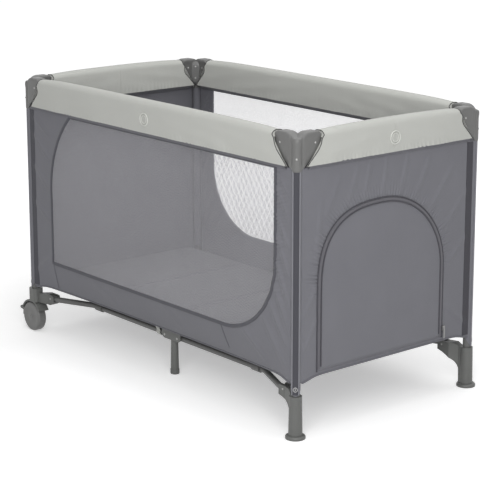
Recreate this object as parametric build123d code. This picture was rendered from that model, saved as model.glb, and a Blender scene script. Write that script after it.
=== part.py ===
"""Folding travel playpen: four posts, folding top rails, folding floor bars, cloth walls and a mattress.

Millimetres, +Z up, origin on the floor under the middle. +X is the end with the zipped door,
-X the end with the two castors, -Y the front long side.
A corner is drawn once, with its post on the Z axis and +X and +Y pointing into the pen, then mirrored.
"""
from build123d import *
import math
import os

# Driving sizes of the frame
POST_X = 580.0            # post axis to the middle, along the length
POST_Y = 305.0            # post axis to the middle, across the width
POST_R = 11.0
POST_WALL = 1.2
RAIL_Z = 735.0            # height of the top rails' axis
POST_TOP = RAIL_Z + 7.0
RAIL_R = 10.0
RAIL_WALL = 1.2
RAIL_PIVOT = 45.0         # post axis to a rail's outer pivot
LOCK_PIVOT = 43.0         # middle of a side to a rail's inner pivot
PIN_R = 3.0
PIN_CLEAR = 0.05          # running clearance of a pin in the part that turns on it
PIN_HEAD_R = 5.5
PIN_HEAD_H = 1.6
SLOT_CLEAR = 0.4          # a tube's gap to the fork cheek beside it
CHEEK = 4.0               # fork cheek thickness
FIT = 0.15                # sleeve on post
CLOTH_GAP = 0.3           # cloth to what it lies against

# Top corner brackets
SLEEVE_WALL = 3.5
BRACKET_BOTTOM = RAIL_Z - 67.0
BRACKET_NOTCH = RAIL_Z + 13.0       # top of the spine, between the two wings
BRACKET_TOP = RAIL_Z + 23.0
WING_LENGTH = RAIL_PIVOT + 21.0
WING_TIP_LOW = RAIL_Z - 19.0
WING_SHOULDER = 22.0      # where the wing's lower edge leaves the sleeve
WING_TOP_START = 28.0
WING_ROUND = 9.0
SLOT_START = RAIL_PIVOT - RAIL_R - 3.0
SHELL_REACH = RAIL_PIVOT - 9.0       # inner shell, along each wing
SHELL_LOW = RAIL_Z - 47.0
SHELL_HIGH = RAIL_Z + 17.0
SPINE_RIVET_Z = RAIL_Z - 35.0
SPINE_RIVET_R = 2.5

# Rail locks and their buttons
LOCK_LENGTH = 2 * LOCK_PIVOT + 28.0
LOCK_LOW = RAIL_Z - 38.0
LOCK_CORE = 2 * (LOCK_PIVOT - RAIL_R - 3.0)      # block between the two rail ends
LOCK_TAPER = 14.0
LOCK_ROUND = 8.0
BUTTON_R = 9.8
BUTTON_CLEAR = 0.2
BUTTON_Z = RAIL_Z - 24.0
BUTTON_PROUD = 2.0
BUTTON_LENGTH = 13.0
BUTTON_TRAVEL = 5.0

# Padded covers of the top rails
RIM_FOAM_GAP = 0.6        # foam to the rail under it
RIM_FOAM = 20.4           # padding over the rail
RIM_WIDTH = 40.0
RIM_TOP = RAIL_Z + RAIL_R + RIM_FOAM_GAP + RIM_FOAM
RIM_LOW = RAIL_Z - 55.0
RIM_WALL = 3.0
RIM_ROUND = RIM_WIDTH / 2 - RIM_WALL
RIM_END_GAP = 1.5         # cover to the bracket's wing

# Floor frame
BAR_R = 8.0
BAR_WALL = 1.2
BAR_Z = 108.0
MID_PIVOT = 28.0          # middle of a side to a floor bar's inner pivot
BAR_PIVOT_U = RAIL_PIVOT + LOCK_PIVOT - MID_PIVOT    # post axis to the bar's corner pivot, along X
BAR_PIVOT_V = 22.0        # the same, along Y
BAR_INSET = 72.0          # post axis to the long run of a floor bar, along Y
BAR_LEAD = 24.0           # straight run out of the corner fork
BAR_BEND_U = BAR_PIVOT_U + 140.0    # post axis to the knuckle, along X
BAR_BEND_R = 40.0
KNUCKLE_R = 11.0
KNUCKLE_START = 14.0      # past the bend
KNUCKLE_LENGTH = 30.0
FORK_LENGTH = BAR_PIVOT_U + 15.0
FORK_FLARE = BAR_PIVOT_U - 10.0      # where the fork is at its full width
FORK_WEB = 16.0           # where the fork's lower edge leaves the foot
FORK_SWEEP = 40.0         # radius of that hollow lower edge
FORK_TIP = 16.0           # the lower edge's last, flatter run
FORK_TOP = BAR_Z + 10.0
FORK_LOW = BAR_Z - 62.0
FORK_TIP_LOW = BAR_Z - 16.0
MID_LENGTH = 2 * MID_PIVOT + 26.0
MID_TOP = BAR_Z + 17.0
MID_CHEEK_LOW = BAR_Z - 10.0
LEG_TOP_R = 9.5
LEG_LOW_R = 11.5
LEG_CAP_R = 12.6
LEG_CAP_H = 14.0

# Fixed feet and castors
FOOT_TOP_R = 16.0
FOOT_LOW_R = 17.8
FOOT_TOP = FORK_TOP - 9.0
FORK_RISE = FOOT_TOP_R + 12.0       # where a foot's fork comes up to its full height
FOOT_FLANGE_R = 25.5
FOOT_FLANGE_H = 9.0
POST_LOW = BAR_Z - 38.0
WHEEL_R = 43.0
CASTOR_TOP = BAR_Z + 24.0
CASTOR_LOW = 2 * WHEEL_R + 5.0
CASTOR_POST_LOW = CASTOR_LOW + 5.0
WHEEL_WIDTH = 27.0
WHEEL_U = -10.0           # wheel axle to the post axis, along X
AXLE_R = 4.0
AXLE_CAP_R = 8.0
AXLE_CAP_H = 2.4
HOOD_GAP = 4.0
HOOD_WALL = 4.5
HOOD_START = 28.0         # degrees, measured from the inward direction
HOOD_END = 146.0
STRUT_GAP = 1.0           # wheel to the strut beside it
STRUT_WALL = 5.0
STRUT_WIDTH = 30.0
LEVER_END = 186.0
LEVER_WIDTH = 16.0
LEVER_TOE = 17.0
LEVER_PIN_R = 2.0
EAR_REACH = 10.0          # degrees that the hood's ears pass its end
EAR_CLEAR = 0.3

# Cloth walls, net windows, door, floor and mattress
PANEL_T = 2.5
PANEL_TOP = RIM_LOW - CLOTH_GAP
HEM_Z = CASTOR_TOP + 20.0
BAND_TOP = HEM_Z + 73.0   # below this the long walls draw inwards
HEM_IN = 55.0             # how far the hem is drawn in at mid length
PANEL_OUT = 9.0           # outer face of a long wall, outwards from the post axis
END_OUT = 9.5             # outer face of an end wall, outwards from the post axis
NOTCH_WIDTH = 30.0        # wall cut back under a bracket, from the post axis
NOTCH_GAP = 0.5
PANEL_POST_GAP = 11.5     # long wall's end, from the post axis
END_POST_GAP = 11.5
WINDOW_LEFT = -(POST_X - 115.0)
WINDOW_RIGHT = POST_X - 70.0
WINDOW_LOW = BAND_TOP + 9.0
WINDOW_HIGH = PANEL_TOP - 7.7
WINDOW_RISE = 0.493       # share of the window's height that its lower right corner takes up
WINDOW_RUN = 190.0        # the same corner, along the length
WINDOW_DROP = 0.571       # share of the height that its upper left corner takes up
WINDOW_LEAN = 101.0       # the same corner, along the length
NET_T = 1.0
NET_BAR = 5.0
NET_COLUMNS = 24
NET_ROWS = 12
DOOR_LEFT = -(POST_Y - 67.0)
DOOR_RIGHT = POST_Y - 119.0
DOOR_LOW = HEM_Z + 16.0
DOOR_SPRING = DOOR_LOW + 190.0      # where the door's straight sides end
DOOR_TOP = PANEL_TOP - 119.7
DOOR_FULLNESS = 2.7       # left shoulder of the arch: 2 is an ellipse, more is squarer
DOOR_LAP = 6.0            # flap over the wall's edge
SHOULDER_STEPS = 16
FLAP_T = 2.0
TRACK_WIDTH = 9.0         # zip track round the door, beside the flap
TRACK_PROUD = 1.9
SLIDER_WIDTH = 9.0
SLIDER_HEIGHT = 14.0
SLIDER_DEPTH = 5.0
PULL_LENGTH = 26.0
PULL_WIDTH = 6.0
PULL_T = 1.6
FLOOR_T = 2.0
MATTRESS_X = 2 * (POST_X - 24.0)
MATTRESS_Y = 2 * (POST_Y - 54.0)
MATTRESS_T = 21.0
MATTRESS_ROUND = 6.0
MATTRESS_PANELS = 4
CHANNEL_DEPTH = 7.0
CHANNEL_WIDTH = 12.0

LONG = POST_X - RAIL_PIVOT - LOCK_PIVOT     # pivot to pivot, long half rail and floor bar
SHORT = POST_Y - RAIL_PIVOT - LOCK_PIVOT    # pivot to pivot, short half rail
SLOT_HALF = RAIL_R + SLOT_CLEAR
WING_HALF = SLOT_HALF + CHEEK
FORK_SLOT = BAR_R + SLOT_CLEAR
FORK_HALF = FORK_SLOT + CHEEK
BELOW = 400.0                               # long enough to cut clear through

SWAP = Plane(origin=(0, 0, 0), z_dir=(1, -1, 0))    # mirror that exchanges X and Y
CORNERS = {"front_left": (-1, -1), "front_right": (1, -1), "back_left": (-1, 1), "back_right": (1, 1)}


def rod(start, end, radius):
    """A round bar from one point to another."""
    start = Vector(*start)
    end = Vector(*end)
    direction = end - start
    plane = Plane(origin=start, z_dir=direction)
    return plane * Cylinder(radius, direction.length, align=(Align.CENTER, Align.CENTER, Align.MIN))


def block(x0, x1, y0, y1, z0, z1):
    """A box between two corners."""
    return Pos(x0, y0, z0) * Box(x1 - x0, y1 - y0, z1 - z0, align=(Align.MIN, Align.MIN, Align.MIN))


def side_plate(points, y0, y1, rounding=None):
    """An outline in X and Z, carried along Y from y0 to y1; rounding maps corner numbers to radii."""
    outline = Polyline(*[(x, z) for x, z in points], close=True)
    face = make_face(outline)
    for corner, radius in (rounding or {}).items():
        spot = Vector(points[corner][0], points[corner][1], 0)
        vertex = face.vertices().sort_by_distance(spot)[0]
        face = fillet(vertex, radius)
    plane = Plane(origin=(0, y0, 0), x_dir=(1, 0, 0), z_dir=(0, -1, 0))
    return extrude(plane * face, -(y1 - y0))


def pin(start, end, radius=PIN_R, head_r=PIN_HEAD_R, head_h=PIN_HEAD_H):
    """A rivet with a shallow domed head at both ends."""
    a = Vector(*start)
    b = Vector(*end)
    along = (b - a).normalized()
    shank = rod(a, b, radius)
    for spot, out in ((a, along * -1), (b, along)):
        head = Plane(origin=spot, z_dir=out) * Cone(
            head_r, head_r * 0.55, head_h, align=(Align.CENTER, Align.CENTER, Align.MIN)
        )
        shank += head
    return shank


def to_corner(shape, corner):
    """From the drawing corner to one of the four posts."""
    sx, sy = CORNERS[corner]
    if sx > 0:
        shape = mirror(shape, about=Plane.YZ)
    if sy > 0:
        shape = mirror(shape, about=Plane.XZ)
    return Pos(sx * POST_X, sy * POST_Y, 0) * shape


def turned_to_corner(shape, corner, turn, height):
    """As to_corner, for a piece that is the same above and below its axis: turned instead of mirrored."""
    sx, sy = CORNERS[corner]
    if sx == sy:
        spin = Rot(0, 0, 180) if sx > 0 else Rot(0, 0, 0)
    else:
        spin = Rot(0, 180, 0) if sx > 0 else Rot(180, 0, 0)
    return Pos(sx * POST_X, sy * POST_Y, height) * (spin * (Rot(0, 0, turn) * shape))


def to_side(shape, side):
    """From a drawing with +X along the side and +Y into the pen to the middle of one of the four sides."""
    if side == "front":
        return Pos(0, -POST_Y, 0) * shape
    if side == "back":
        return Pos(0, POST_Y, 0) * (Rot(0, 0, 180) * shape)
    if side == "left":
        return Pos(-POST_X, 0, 0) * (Rot(0, 0, -90) * shape)
    return Pos(POST_X, 0, 0) * (Rot(0, 0, 90) * shape)


os.makedirs("parts", exist_ok=True)


def save(name, *solids):
    """One node: its separate solids in one file."""
    flat = [s for shape in solids for s in shape.solids()]
    shape = flat[0] if len(flat) == 1 else Compound(children=flat)
    export_step(shape, f"parts/{name}.step")


# Corner posts
def post(low):
    return rod((0, 0, low), (0, 0, POST_TOP), POST_R) - rod((0, 0, low), (0, 0, POST_TOP), POST_R - POST_WALL)


# Top corner brackets: a sleeve on the post and two forked wings, open below so that the rails swing down
def bracket_wing():
    outline = [
        (0, BRACKET_BOTTOM),
        (WING_SHOULDER - 4, BRACKET_BOTTOM + 4),
        (WING_LENGTH - 12, WING_TIP_LOW - 6),
        (WING_LENGTH, WING_TIP_LOW + 12),
        (WING_LENGTH, BRACKET_TOP),
        (WING_TOP_START, BRACKET_TOP),
        (0, BRACKET_NOTCH),
    ]
    return side_plate(outline, -WING_HALF, WING_HALF, {4: WING_ROUND, 3: WING_ROUND, 5: WING_ROUND})


def wing_cuts():
    """The rail's slot and the pivot hole of one wing."""
    roof = RAIL_Z + RAIL_R + RIM_FOAM_GAP
    slot = block(SLOT_START, WING_LENGTH + 1, -SLOT_HALF, SLOT_HALF, RAIL_Z - BELOW, roof)
    hole = rod((RAIL_PIVOT, -WING_HALF, RAIL_Z), (RAIL_PIVOT, WING_HALF, RAIL_Z), PIN_R)
    return slot + hole


def top_bracket():
    sleeve_r = POST_R + FIT + SLEEVE_WALL
    wing = bracket_wing()
    body = rod((0, 0, BRACKET_BOTTOM), (0, 0, BRACKET_NOTCH), sleeve_r) + wing + mirror(wing, about=SWAP)
    cuts = wing_cuts()
    body -= cuts
    body -= mirror(cuts, about=SWAP)
    body -= rod((0, 0, BRACKET_BOTTOM - 1), (0, 0, POST_TOP + FIT), POST_R + FIT)
    body -= spine_rivet_shank()
    return body


def inner_shell():
    """The three-cornered cover between the two wings, on the inside of the corner."""
    near = WING_HALF
    far = WING_HALF + SHELL_REACH - 14
    face = make_face(Polyline((near, near), (far, near), (near, far), close=True))
    shell = extrude(Pos(0, 0, SHELL_LOW) * face, SHELL_HIGH - SHELL_LOW)
    low_edge = shell.faces().sort_by(Axis.Z)[0].edges().sort_by(lambda e: e.length)[-1]
    return chamfer(low_edge, 14, 10)


def spine_direction():
    return Vector(-1, -1, 0).normalized()


def spine_rivet_shank():
    out = spine_direction()
    start = out * (POST_R + FIT)
    end = out * (POST_R + FIT + SLEEVE_WALL + 8)
    return rod((start.X, start.Y, SPINE_RIVET_Z), (end.X, end.Y, SPINE_RIVET_Z), SPINE_RIVET_R)


def spine_rivet():
    out = spine_direction()
    start = out * (POST_R + FIT)
    end = out * (POST_R + FIT + SLEEVE_WALL)
    shank = rod((start.X, start.Y, SPINE_RIVET_Z), (end.X, end.Y, SPINE_RIVET_Z), SPINE_RIVET_R)
    head = Plane(origin=(end.X, end.Y, SPINE_RIVET_Z), z_dir=out) * Cone(
        PIN_HEAD_R * 0.8, PIN_HEAD_R * 0.4, PIN_HEAD_H, align=(Align.CENTER, Align.CENTER, Align.MIN)
    )
    return shank + head


# Top rails: tubes with rounded ends, a cross hole at each end for the pivot. Drawn about height 0
def rail(length):
    bore = RAIL_R - RAIL_WALL
    reach = math.sqrt(RAIL_R**2 - bore**2)
    near = RAIL_PIVOT
    far = RAIL_PIVOT + length
    half_turn = math.asin(reach / RAIL_R) / 2
    along = RAIL_R * math.sin(half_turn)
    up = RAIL_R * math.cos(half_turn)
    profile = make_face(
        [
            ThreePointArc((near - reach, bore), (near - along, up), (near, RAIL_R)),
            Line((near, RAIL_R), (far, RAIL_R)),
            ThreePointArc((far, RAIL_R), (far + along, up), (far + reach, bore)),
            Line((far + reach, bore), (near - reach, bore)),
        ]
    )
    tube = revolve(profile, Axis.X)
    for x in (near, far):
        tube -= rod((x, -RAIL_R, 0), (x, RAIL_R, 0), PIN_R + PIN_CLEAR)
    return tube


# Rail locks: a trough at the middle of each side, open above, with a push button in its outer face
def lock_housing():
    half = LOCK_LENGTH / 2
    floor_z = RAIL_Z - RAIL_R - SLOT_CLEAR
    cheek_top = RAIL_Z + RAIL_R
    outline = [
        (-half + LOCK_TAPER, LOCK_LOW),
        (half - LOCK_TAPER, LOCK_LOW),
        (half, floor_z - CHEEK),
        (half, cheek_top),
        (-half, cheek_top),
        (-half, floor_z - CHEEK),
    ]
    body = side_plate(outline, -WING_HALF, WING_HALF, {3: LOCK_ROUND, 4: LOCK_ROUND})
    body -= block(-half - 1, half + 1, -SLOT_HALF, SLOT_HALF, floor_z, cheek_top + 1)
    body += block(-LOCK_CORE / 2, LOCK_CORE / 2, -SLOT_HALF, SLOT_HALF, floor_z, cheek_top - 2)
    for x in (-LOCK_PIVOT, LOCK_PIVOT):
        body -= rod((x, -WING_HALF, RAIL_Z), (x, WING_HALF, RAIL_Z), PIN_R)
    bore_end = -WING_HALF - BUTTON_PROUD + BUTTON_LENGTH + BUTTON_TRAVEL + 1
    body -= rod((0, -WING_HALF - 1, BUTTON_Z), (0, bore_end, BUTTON_Z), BUTTON_R + BUTTON_CLEAR)
    return body


def lock_pins():
    return [pin((x, -WING_HALF, RAIL_Z), (x, WING_HALF, RAIL_Z)) for x in (-LOCK_PIVOT, LOCK_PIVOT)]


def lock_button():
    face = -WING_HALF - BUTTON_PROUD
    button = rod((0, face, BUTTON_Z), (0, face + BUTTON_LENGTH, BUTTON_Z), BUTTON_R)
    front = button.edges().group_by(Axis.Y)[0]
    return fillet(front, 1.2)


# Padded rail covers: foam over the rail with a skirt down each side, cut back round the bracket
def rim_cover(half_length):
    half = RIM_WIDTH / 2
    inner = half - RIM_WALL
    outer = make_face(
        Polyline((-half, RIM_LOW), (half, RIM_LOW), (half, RIM_TOP), (-half, RIM_TOP), close=True)
    )
    top = [v for v in outer.vertices() if v.Y > RIM_TOP - 1]
    outer = fillet(top, RIM_ROUND)
    hollow = make_face(
        Polyline(
            (-inner, RIM_LOW - 1),
            (inner, RIM_LOW - 1),
            (inner, RAIL_Z + RAIL_R + RIM_FOAM_GAP),
            (-inner, RAIL_Z + RAIL_R + RIM_FOAM_GAP),
            close=True,
        )
    )
    section = Plane(origin=(0, 0, 0), x_dir=(0, 1, 0), z_dir=(1, 0, 0)) * (outer - hollow)
    cover = extrude(section, half_length - CLOTH_GAP / 2)
    gap = RIM_END_GAP
    cut = side_plate(
        [
            (-50, RIM_LOW - 20),
            (WING_SHOULDER + gap, RIM_LOW - 20),
            (WING_SHOULDER + gap, RIM_LOW),
            (WING_LENGTH - 12 + 2 * gap, WING_TIP_LOW - 6),
            (WING_LENGTH + gap, WING_TIP_LOW + 10),
            (WING_LENGTH + gap, RIM_TOP + 20),
            (-50, RIM_TOP + 20),
        ],
        -RIM_WIDTH,
        RIM_WIDTH,
    )
    return cover - cut


# Floor bars: bent tubes from a corner fork to the middle bracket. Drawn about height 0
def bar_path(lead_out):
    points = [
        (BAR_PIVOT_U - lead_out, BAR_PIVOT_V, 0),
        (BAR_PIVOT_U + BAR_LEAD, BAR_PIVOT_V, 0),
        (BAR_BEND_U, BAR_INSET, 0),
        (BAR_PIVOT_U + LONG + lead_out, BAR_INSET, 0),
    ]
    return FilletPolyline(*points, radius=BAR_BEND_R)


def floor_bar():
    def tube(lead_out, radius):
        path = bar_path(lead_out)
        return sweep(Plane(origin=path @ 0, z_dir=path % 0) * Circle(radius), path=path)

    ends = [(BAR_PIVOT_U, BAR_PIVOT_V), (BAR_PIVOT_U + LONG, BAR_INSET)]
    bar = tube(0, BAR_R)
    for x, y in ends:
        bar += Pos(x, y, 0) * Sphere(BAR_R)
    knuckle = (BAR_BEND_U + KNUCKLE_START, BAR_INSET, 0)
    bar += rod(knuckle, (knuckle[0] + KNUCKLE_LENGTH, BAR_INSET, 0), KNUCKLE_R)
    bar -= tube(2 * BAR_R, BAR_R - BAR_WALL)
    for x, y in ends:
        bar -= rod((x, y - BAR_R, 0), (x, y + BAR_R, 0), PIN_R + PIN_CLEAR)
    return bar


# Corner fork of a floor bar, open above so that the bar swings up
def fork(lower_edge, top, seat, rounding):
    """A side outline cut to a plan that starts narrow at the post, at height seat, and widens to the two cheeks."""
    near = BAR_PIVOT_V - FORK_HALF
    far = BAR_PIVOT_V + FORK_HALF
    outline = [*lower_edge, (FORK_LENGTH, top), (FORK_RISE, top), (FOOT_TOP_R, seat), (0, seat)]
    arm = side_plate(outline, -FOOT_TOP_R, far, rounding)
    plan = make_face(
        Polyline(
            (0, -FOOT_TOP_R / 2),
            (FORK_FLARE, near),
            (FORK_LENGTH, near),
            (FORK_LENGTH, far),
            (FORK_FLARE - FORK_TIP, far),
            (FORK_WEB + 2, FOOT_TOP_R * 0.85),
            (-FOOT_TOP_R / 2, FOOT_TOP_R * 0.8),
            close=True,
        )
    )
    return arm & extrude(plan, top)


def fork_cuts():
    slot = block(
        BAR_PIVOT_U - BAR_R - 3,
        FORK_LENGTH + 1,
        BAR_PIVOT_V - FORK_SLOT,
        BAR_PIVOT_V + FORK_SLOT,
        BAR_Z - BAR_R - SLOT_CLEAR,
        BAR_Z + BELOW,
    )
    hole_low = BAR_PIVOT_V - FORK_HALF
    hole_high = BAR_PIVOT_V + FORK_HALF
    hole = rod((BAR_PIVOT_U, hole_low, BAR_Z), (BAR_PIVOT_U, hole_high, BAR_Z), PIN_R)
    return slot + hole


def fork_pin():
    return pin((BAR_PIVOT_U, BAR_PIVOT_V - FORK_HALF, BAR_Z), (BAR_PIVOT_U, BAR_PIVOT_V + FORK_HALF, BAR_Z))


# Fixed foot: a tapered sleeve on a round flange, with the fork at its side
def fixed_foot():
    stem = Pos(0, 0, FOOT_FLANGE_H - 1) * Cone(
        FOOT_LOW_R, FOOT_TOP_R, FOOT_TOP - FOOT_FLANGE_H + 1, align=(Align.CENTER, Align.CENTER, Align.MIN)
    )
    flange = rod((0, 0, 0), (0, 0, FOOT_FLANGE_H), FOOT_FLANGE_R)
    flange = fillet(flange.edges().group_by(Axis.Z)[-1], FOOT_FLANGE_H * 0.6)
    lower_edge = [
        (0, FOOT_FLANGE_H - 1),
        (FORK_WEB, FOOT_FLANGE_H - 1),
        (FORK_WEB + 1, FORK_LOW),
        (FORK_WEB + 9, FORK_LOW + 28),
        (FORK_LENGTH - FORK_TIP, FORK_TIP_LOW - 4),
        (FORK_LENGTH, FORK_TIP_LOW),
    ]
    foot = stem + flange + fork(lower_edge, FORK_TOP, FOOT_TOP, {2: FORK_SWEEP, 3: FORK_SWEEP, 6: 5})
    foot -= rod((0, 0, POST_LOW), (0, 0, FOOT_TOP + 1), POST_R + FIT)
    return foot - fork_cuts()


# Castor bracket: a block on the post with the fork, a hood over the wheel and a strut to its axle
def arc_band(radius_in, radius_out, start, end, y0, y1):
    """A ring segment about the wheel's axle, angles in degrees from +X towards +Z."""

    def at(radius, angle):
        turn = math.radians(angle)
        return (WHEEL_U + radius * math.cos(turn), WHEEL_R + radius * math.sin(turn))

    middle = (start + end) / 2
    edges = [
        ThreePointArc(at(radius_out, start), at(radius_out, middle), at(radius_out, end)),
        Line(at(radius_out, end), at(radius_in, end)),
        ThreePointArc(at(radius_in, end), at(radius_in, middle), at(radius_in, start)),
        Line(at(radius_in, start), at(radius_out, start)),
    ]
    plane = Plane(origin=(0, y0, 0), x_dir=(1, 0, 0), z_dir=(0, -1, 0))
    return extrude(plane * make_face(edges), -(y1 - y0))


HOOD_IN = WHEEL_R + HOOD_GAP
HOOD_OUT = HOOD_IN + HOOD_WALL
STRUT_Y = WHEEL_WIDTH / 2 + STRUT_GAP
LEVER_PIVOT_R = HOOD_IN + HOOD_WALL / 2


def lever_pivot():
    angle = math.radians(HOOD_END + EAR_REACH / 2)
    return (WHEEL_U + LEVER_PIVOT_R * math.cos(angle), WHEEL_R + LEVER_PIVOT_R * math.sin(angle))


def castor_bracket():
    half = WHEEL_WIDTH / 2
    body = block(-18, 18, -16, 16, CASTOR_LOW, CASTOR_TOP)
    body = fillet(body.edges().filter_by(Axis.Z), 9)
    lower_edge = [(0, CASTOR_LOW), (FORK_LENGTH - FORK_TIP, CASTOR_LOW - 3), (FORK_LENGTH, FORK_TIP_LOW + 4)]
    body += fork(lower_edge, FORK_TOP, FORK_TOP, {1: 12, 2: 3, 3: 5})
    body += arc_band(HOOD_IN, HOOD_OUT, HOOD_START, HOOD_END, -half, STRUT_Y + STRUT_WALL)
    strut_half = STRUT_WIDTH / 2
    strut_end = STRUT_Y + STRUT_WALL
    body += block(WHEEL_U - strut_half, WHEEL_U + strut_half, STRUT_Y, strut_end, WHEEL_R, CASTOR_LOW + 8)
    body += rod((WHEEL_U, STRUT_Y, WHEEL_R), (WHEEL_U, strut_end, WHEEL_R), strut_half)
    ear_half = LEVER_WIDTH / 2 + EAR_CLEAR
    for low, high in ((-half, -ear_half), (ear_half, half)):
        body += arc_band(HOOD_IN, HOOD_OUT, HOOD_END - 1, HOOD_END + EAR_REACH, low, high)
    x, z = lever_pivot()
    body -= rod((x, -half, z), (x, half, z), LEVER_PIN_R)
    body -= rod((WHEEL_U, 0, WHEEL_R), (WHEEL_U, STRUT_Y + STRUT_WALL, WHEEL_R), AXLE_R)
    body -= rod((0, 0, CASTOR_POST_LOW), (0, 0, CASTOR_TOP + 1), POST_R + FIT)
    return body - fork_cuts()


def axle():
    """Wheel axle: a plain pin through wheel and strut, with a cap on the wheel's open side."""
    cap_y = -WHEEL_WIDTH / 2 - EAR_CLEAR
    shank = rod((WHEEL_U, cap_y, WHEEL_R), (WHEEL_U, STRUT_Y + STRUT_WALL, WHEEL_R), AXLE_R)
    cap = Plane(origin=(WHEEL_U, cap_y, WHEEL_R), z_dir=(0, -1, 0)) * Cone(
        AXLE_CAP_R, AXLE_CAP_R * 0.6, AXLE_CAP_H, align=(Align.CENTER, Align.CENTER, Align.MIN)
    )
    return shank + cap


def lever_pin():
    x, z = lever_pivot()
    half = WHEEL_WIDTH / 2
    return rod((x, -half, z), (x, half, z), LEVER_PIN_R)


def wheel():
    half = WHEEL_WIDTH / 2
    disc = rod((WHEEL_U, -half, WHEEL_R), (WHEEL_U, half, WHEEL_R), WHEEL_R)
    disc = fillet(disc.edges().filter_by(GeomType.CIRCLE), 5)
    groove_r = WHEEL_R - 9
    for y0, y1 in ((-half, -half + 2), (half - 2, half)):
        ring = rod((WHEEL_U, y0, WHEEL_R), (WHEEL_U, y1, WHEEL_R), groove_r)
        ring -= rod((WHEEL_U, y0, WHEEL_R), (WHEEL_U, y1, WHEEL_R), AXLE_CAP_R + 4)
        disc -= ring
    return disc - rod((WHEEL_U, -half, WHEEL_R), (WHEEL_U, half, WHEEL_R), AXLE_R + PIN_CLEAR)


def brake_lever():
    """A curved shoe that hangs beside the tyre, with a toe tab, on a pin between the hood's ears."""
    half = LEVER_WIDTH / 2
    x, z = lever_pivot()
    shoe = arc_band(HOOD_IN, HOOD_OUT, HOOD_END + EAR_REACH / 2, LEVER_END, -half, half)
    shoe += rod((x, -half, z), (x, half, z), HOOD_WALL / 2)
    toe = arc_band(HOOD_OUT - 1, HOOD_OUT + LEVER_TOE, LEVER_END - 22, LEVER_END - 16, -half, half)
    shoe += toe
    return shoe - rod((x, -half, z), (x, half, z), LEVER_PIN_R + PIN_CLEAR)


# Middle bracket of the floor bars, open below so that the bars hang down when folded, with its leg
def mid_bracket():
    half = MID_LENGTH / 2
    outline = [
        (-half, MID_CHEEK_LOW + 6),
        (-half + 10, MID_CHEEK_LOW),
        (half - 10, MID_CHEEK_LOW),
        (half, MID_CHEEK_LOW + 6),
        (half, MID_TOP),
        (-half, MID_TOP),
    ]
    body = side_plate(outline, -FORK_HALF, FORK_HALF, {4: 6, 5: 6})
    inner = MID_PIVOT - BAR_R - 3
    for x0, x1 in ((-half - 1, -inner), (inner, half + 1)):
        body -= block(x0, x1, -FORK_SLOT, FORK_SLOT, BAR_Z - BELOW, BAR_Z + BAR_R + SLOT_CLEAR)
    body += Pos(0, 0, LEG_CAP_H) * Cone(
        LEG_LOW_R, LEG_TOP_R, MID_TOP - 4 - LEG_CAP_H, align=(Align.CENTER, Align.CENTER, Align.MIN)
    )
    for x in (-MID_PIVOT, MID_PIVOT):
        body -= rod((x, -FORK_HALF, BAR_Z), (x, FORK_HALF, BAR_Z), PIN_R)
    return body


def leg_cap():
    cap = rod((0, 0, 0), (0, 0, LEG_CAP_H), LEG_CAP_R)
    return fillet(cap.edges().group_by(Axis.Z)[0], 2)


def mid_pins():
    head = 1.2
    return [
        pin((x, -FORK_HALF, BAR_Z), (x, FORK_HALF, BAR_Z), head_h=head) for x in (-MID_PIVOT, MID_PIVOT)
    ]


# Long cloth wall: flat above, drawn inwards along a curve at its hem, with a leaf-shaped window
def upright(face, y0, thickness):
    """A face drawn in X and Z, made a sheet from y0 inwards."""
    plane = Plane(origin=(0, y0, 0), x_dir=(1, 0, 0), z_dir=(0, -1, 0))
    return extrude(plane * face, -thickness)


def window_face():
    """Square at its upper right and lower left corners, widely rounded at the other two."""
    height = WINDOW_HIGH - WINDOW_LOW
    right_top = WINDOW_LOW + WINDOW_RISE * height
    right_middle = (WINDOW_RIGHT - 0.274 * WINDOW_RUN, WINDOW_LOW + 0.1507 * height)
    right_foot = WINDOW_RIGHT - WINDOW_RUN
    left_foot = WINDOW_HIGH - WINDOW_DROP * height
    left_middle = (WINDOW_LEFT + 0.2475 * WINDOW_LEAN, WINDOW_HIGH - 0.242 * height)
    left_top = WINDOW_LEFT + WINDOW_LEAN
    edges = [
        Line((WINDOW_RIGHT, WINDOW_HIGH), (WINDOW_RIGHT, right_top)),
        ThreePointArc((WINDOW_RIGHT, right_top), right_middle, (right_foot, WINDOW_LOW)),
        Line((right_foot, WINDOW_LOW), (WINDOW_LEFT, WINDOW_LOW)),
        Line((WINDOW_LEFT, WINDOW_LOW), (WINDOW_LEFT, left_foot)),
        ThreePointArc((WINDOW_LEFT, left_foot), left_middle, (left_top, WINDOW_HIGH)),
        Line((left_top, WINDOW_HIGH), (WINDOW_RIGHT, WINDOW_HIGH)),
    ]
    return make_face(edges)


def hem_arc(offset):
    """Plan line of the hem: straight at the posts, drawn in at mid length. offset moves it inwards."""
    half = POST_X - PANEL_POST_GAP
    out = -PANEL_OUT + offset
    return ThreePointArc((-half, out), (0, out + HEM_IN), (half, out))


def notches(post):
    """The two upper corners of a wall, cut back where the top brackets reach down over it."""
    low = BRACKET_BOTTOM - NOTCH_GAP
    cut = block(post - NOTCH_WIDTH, post, -POST_R - 5, POST_R + 5, low, PANEL_TOP + 1)
    return cut + mirror(cut, about=Plane.YZ)


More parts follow.
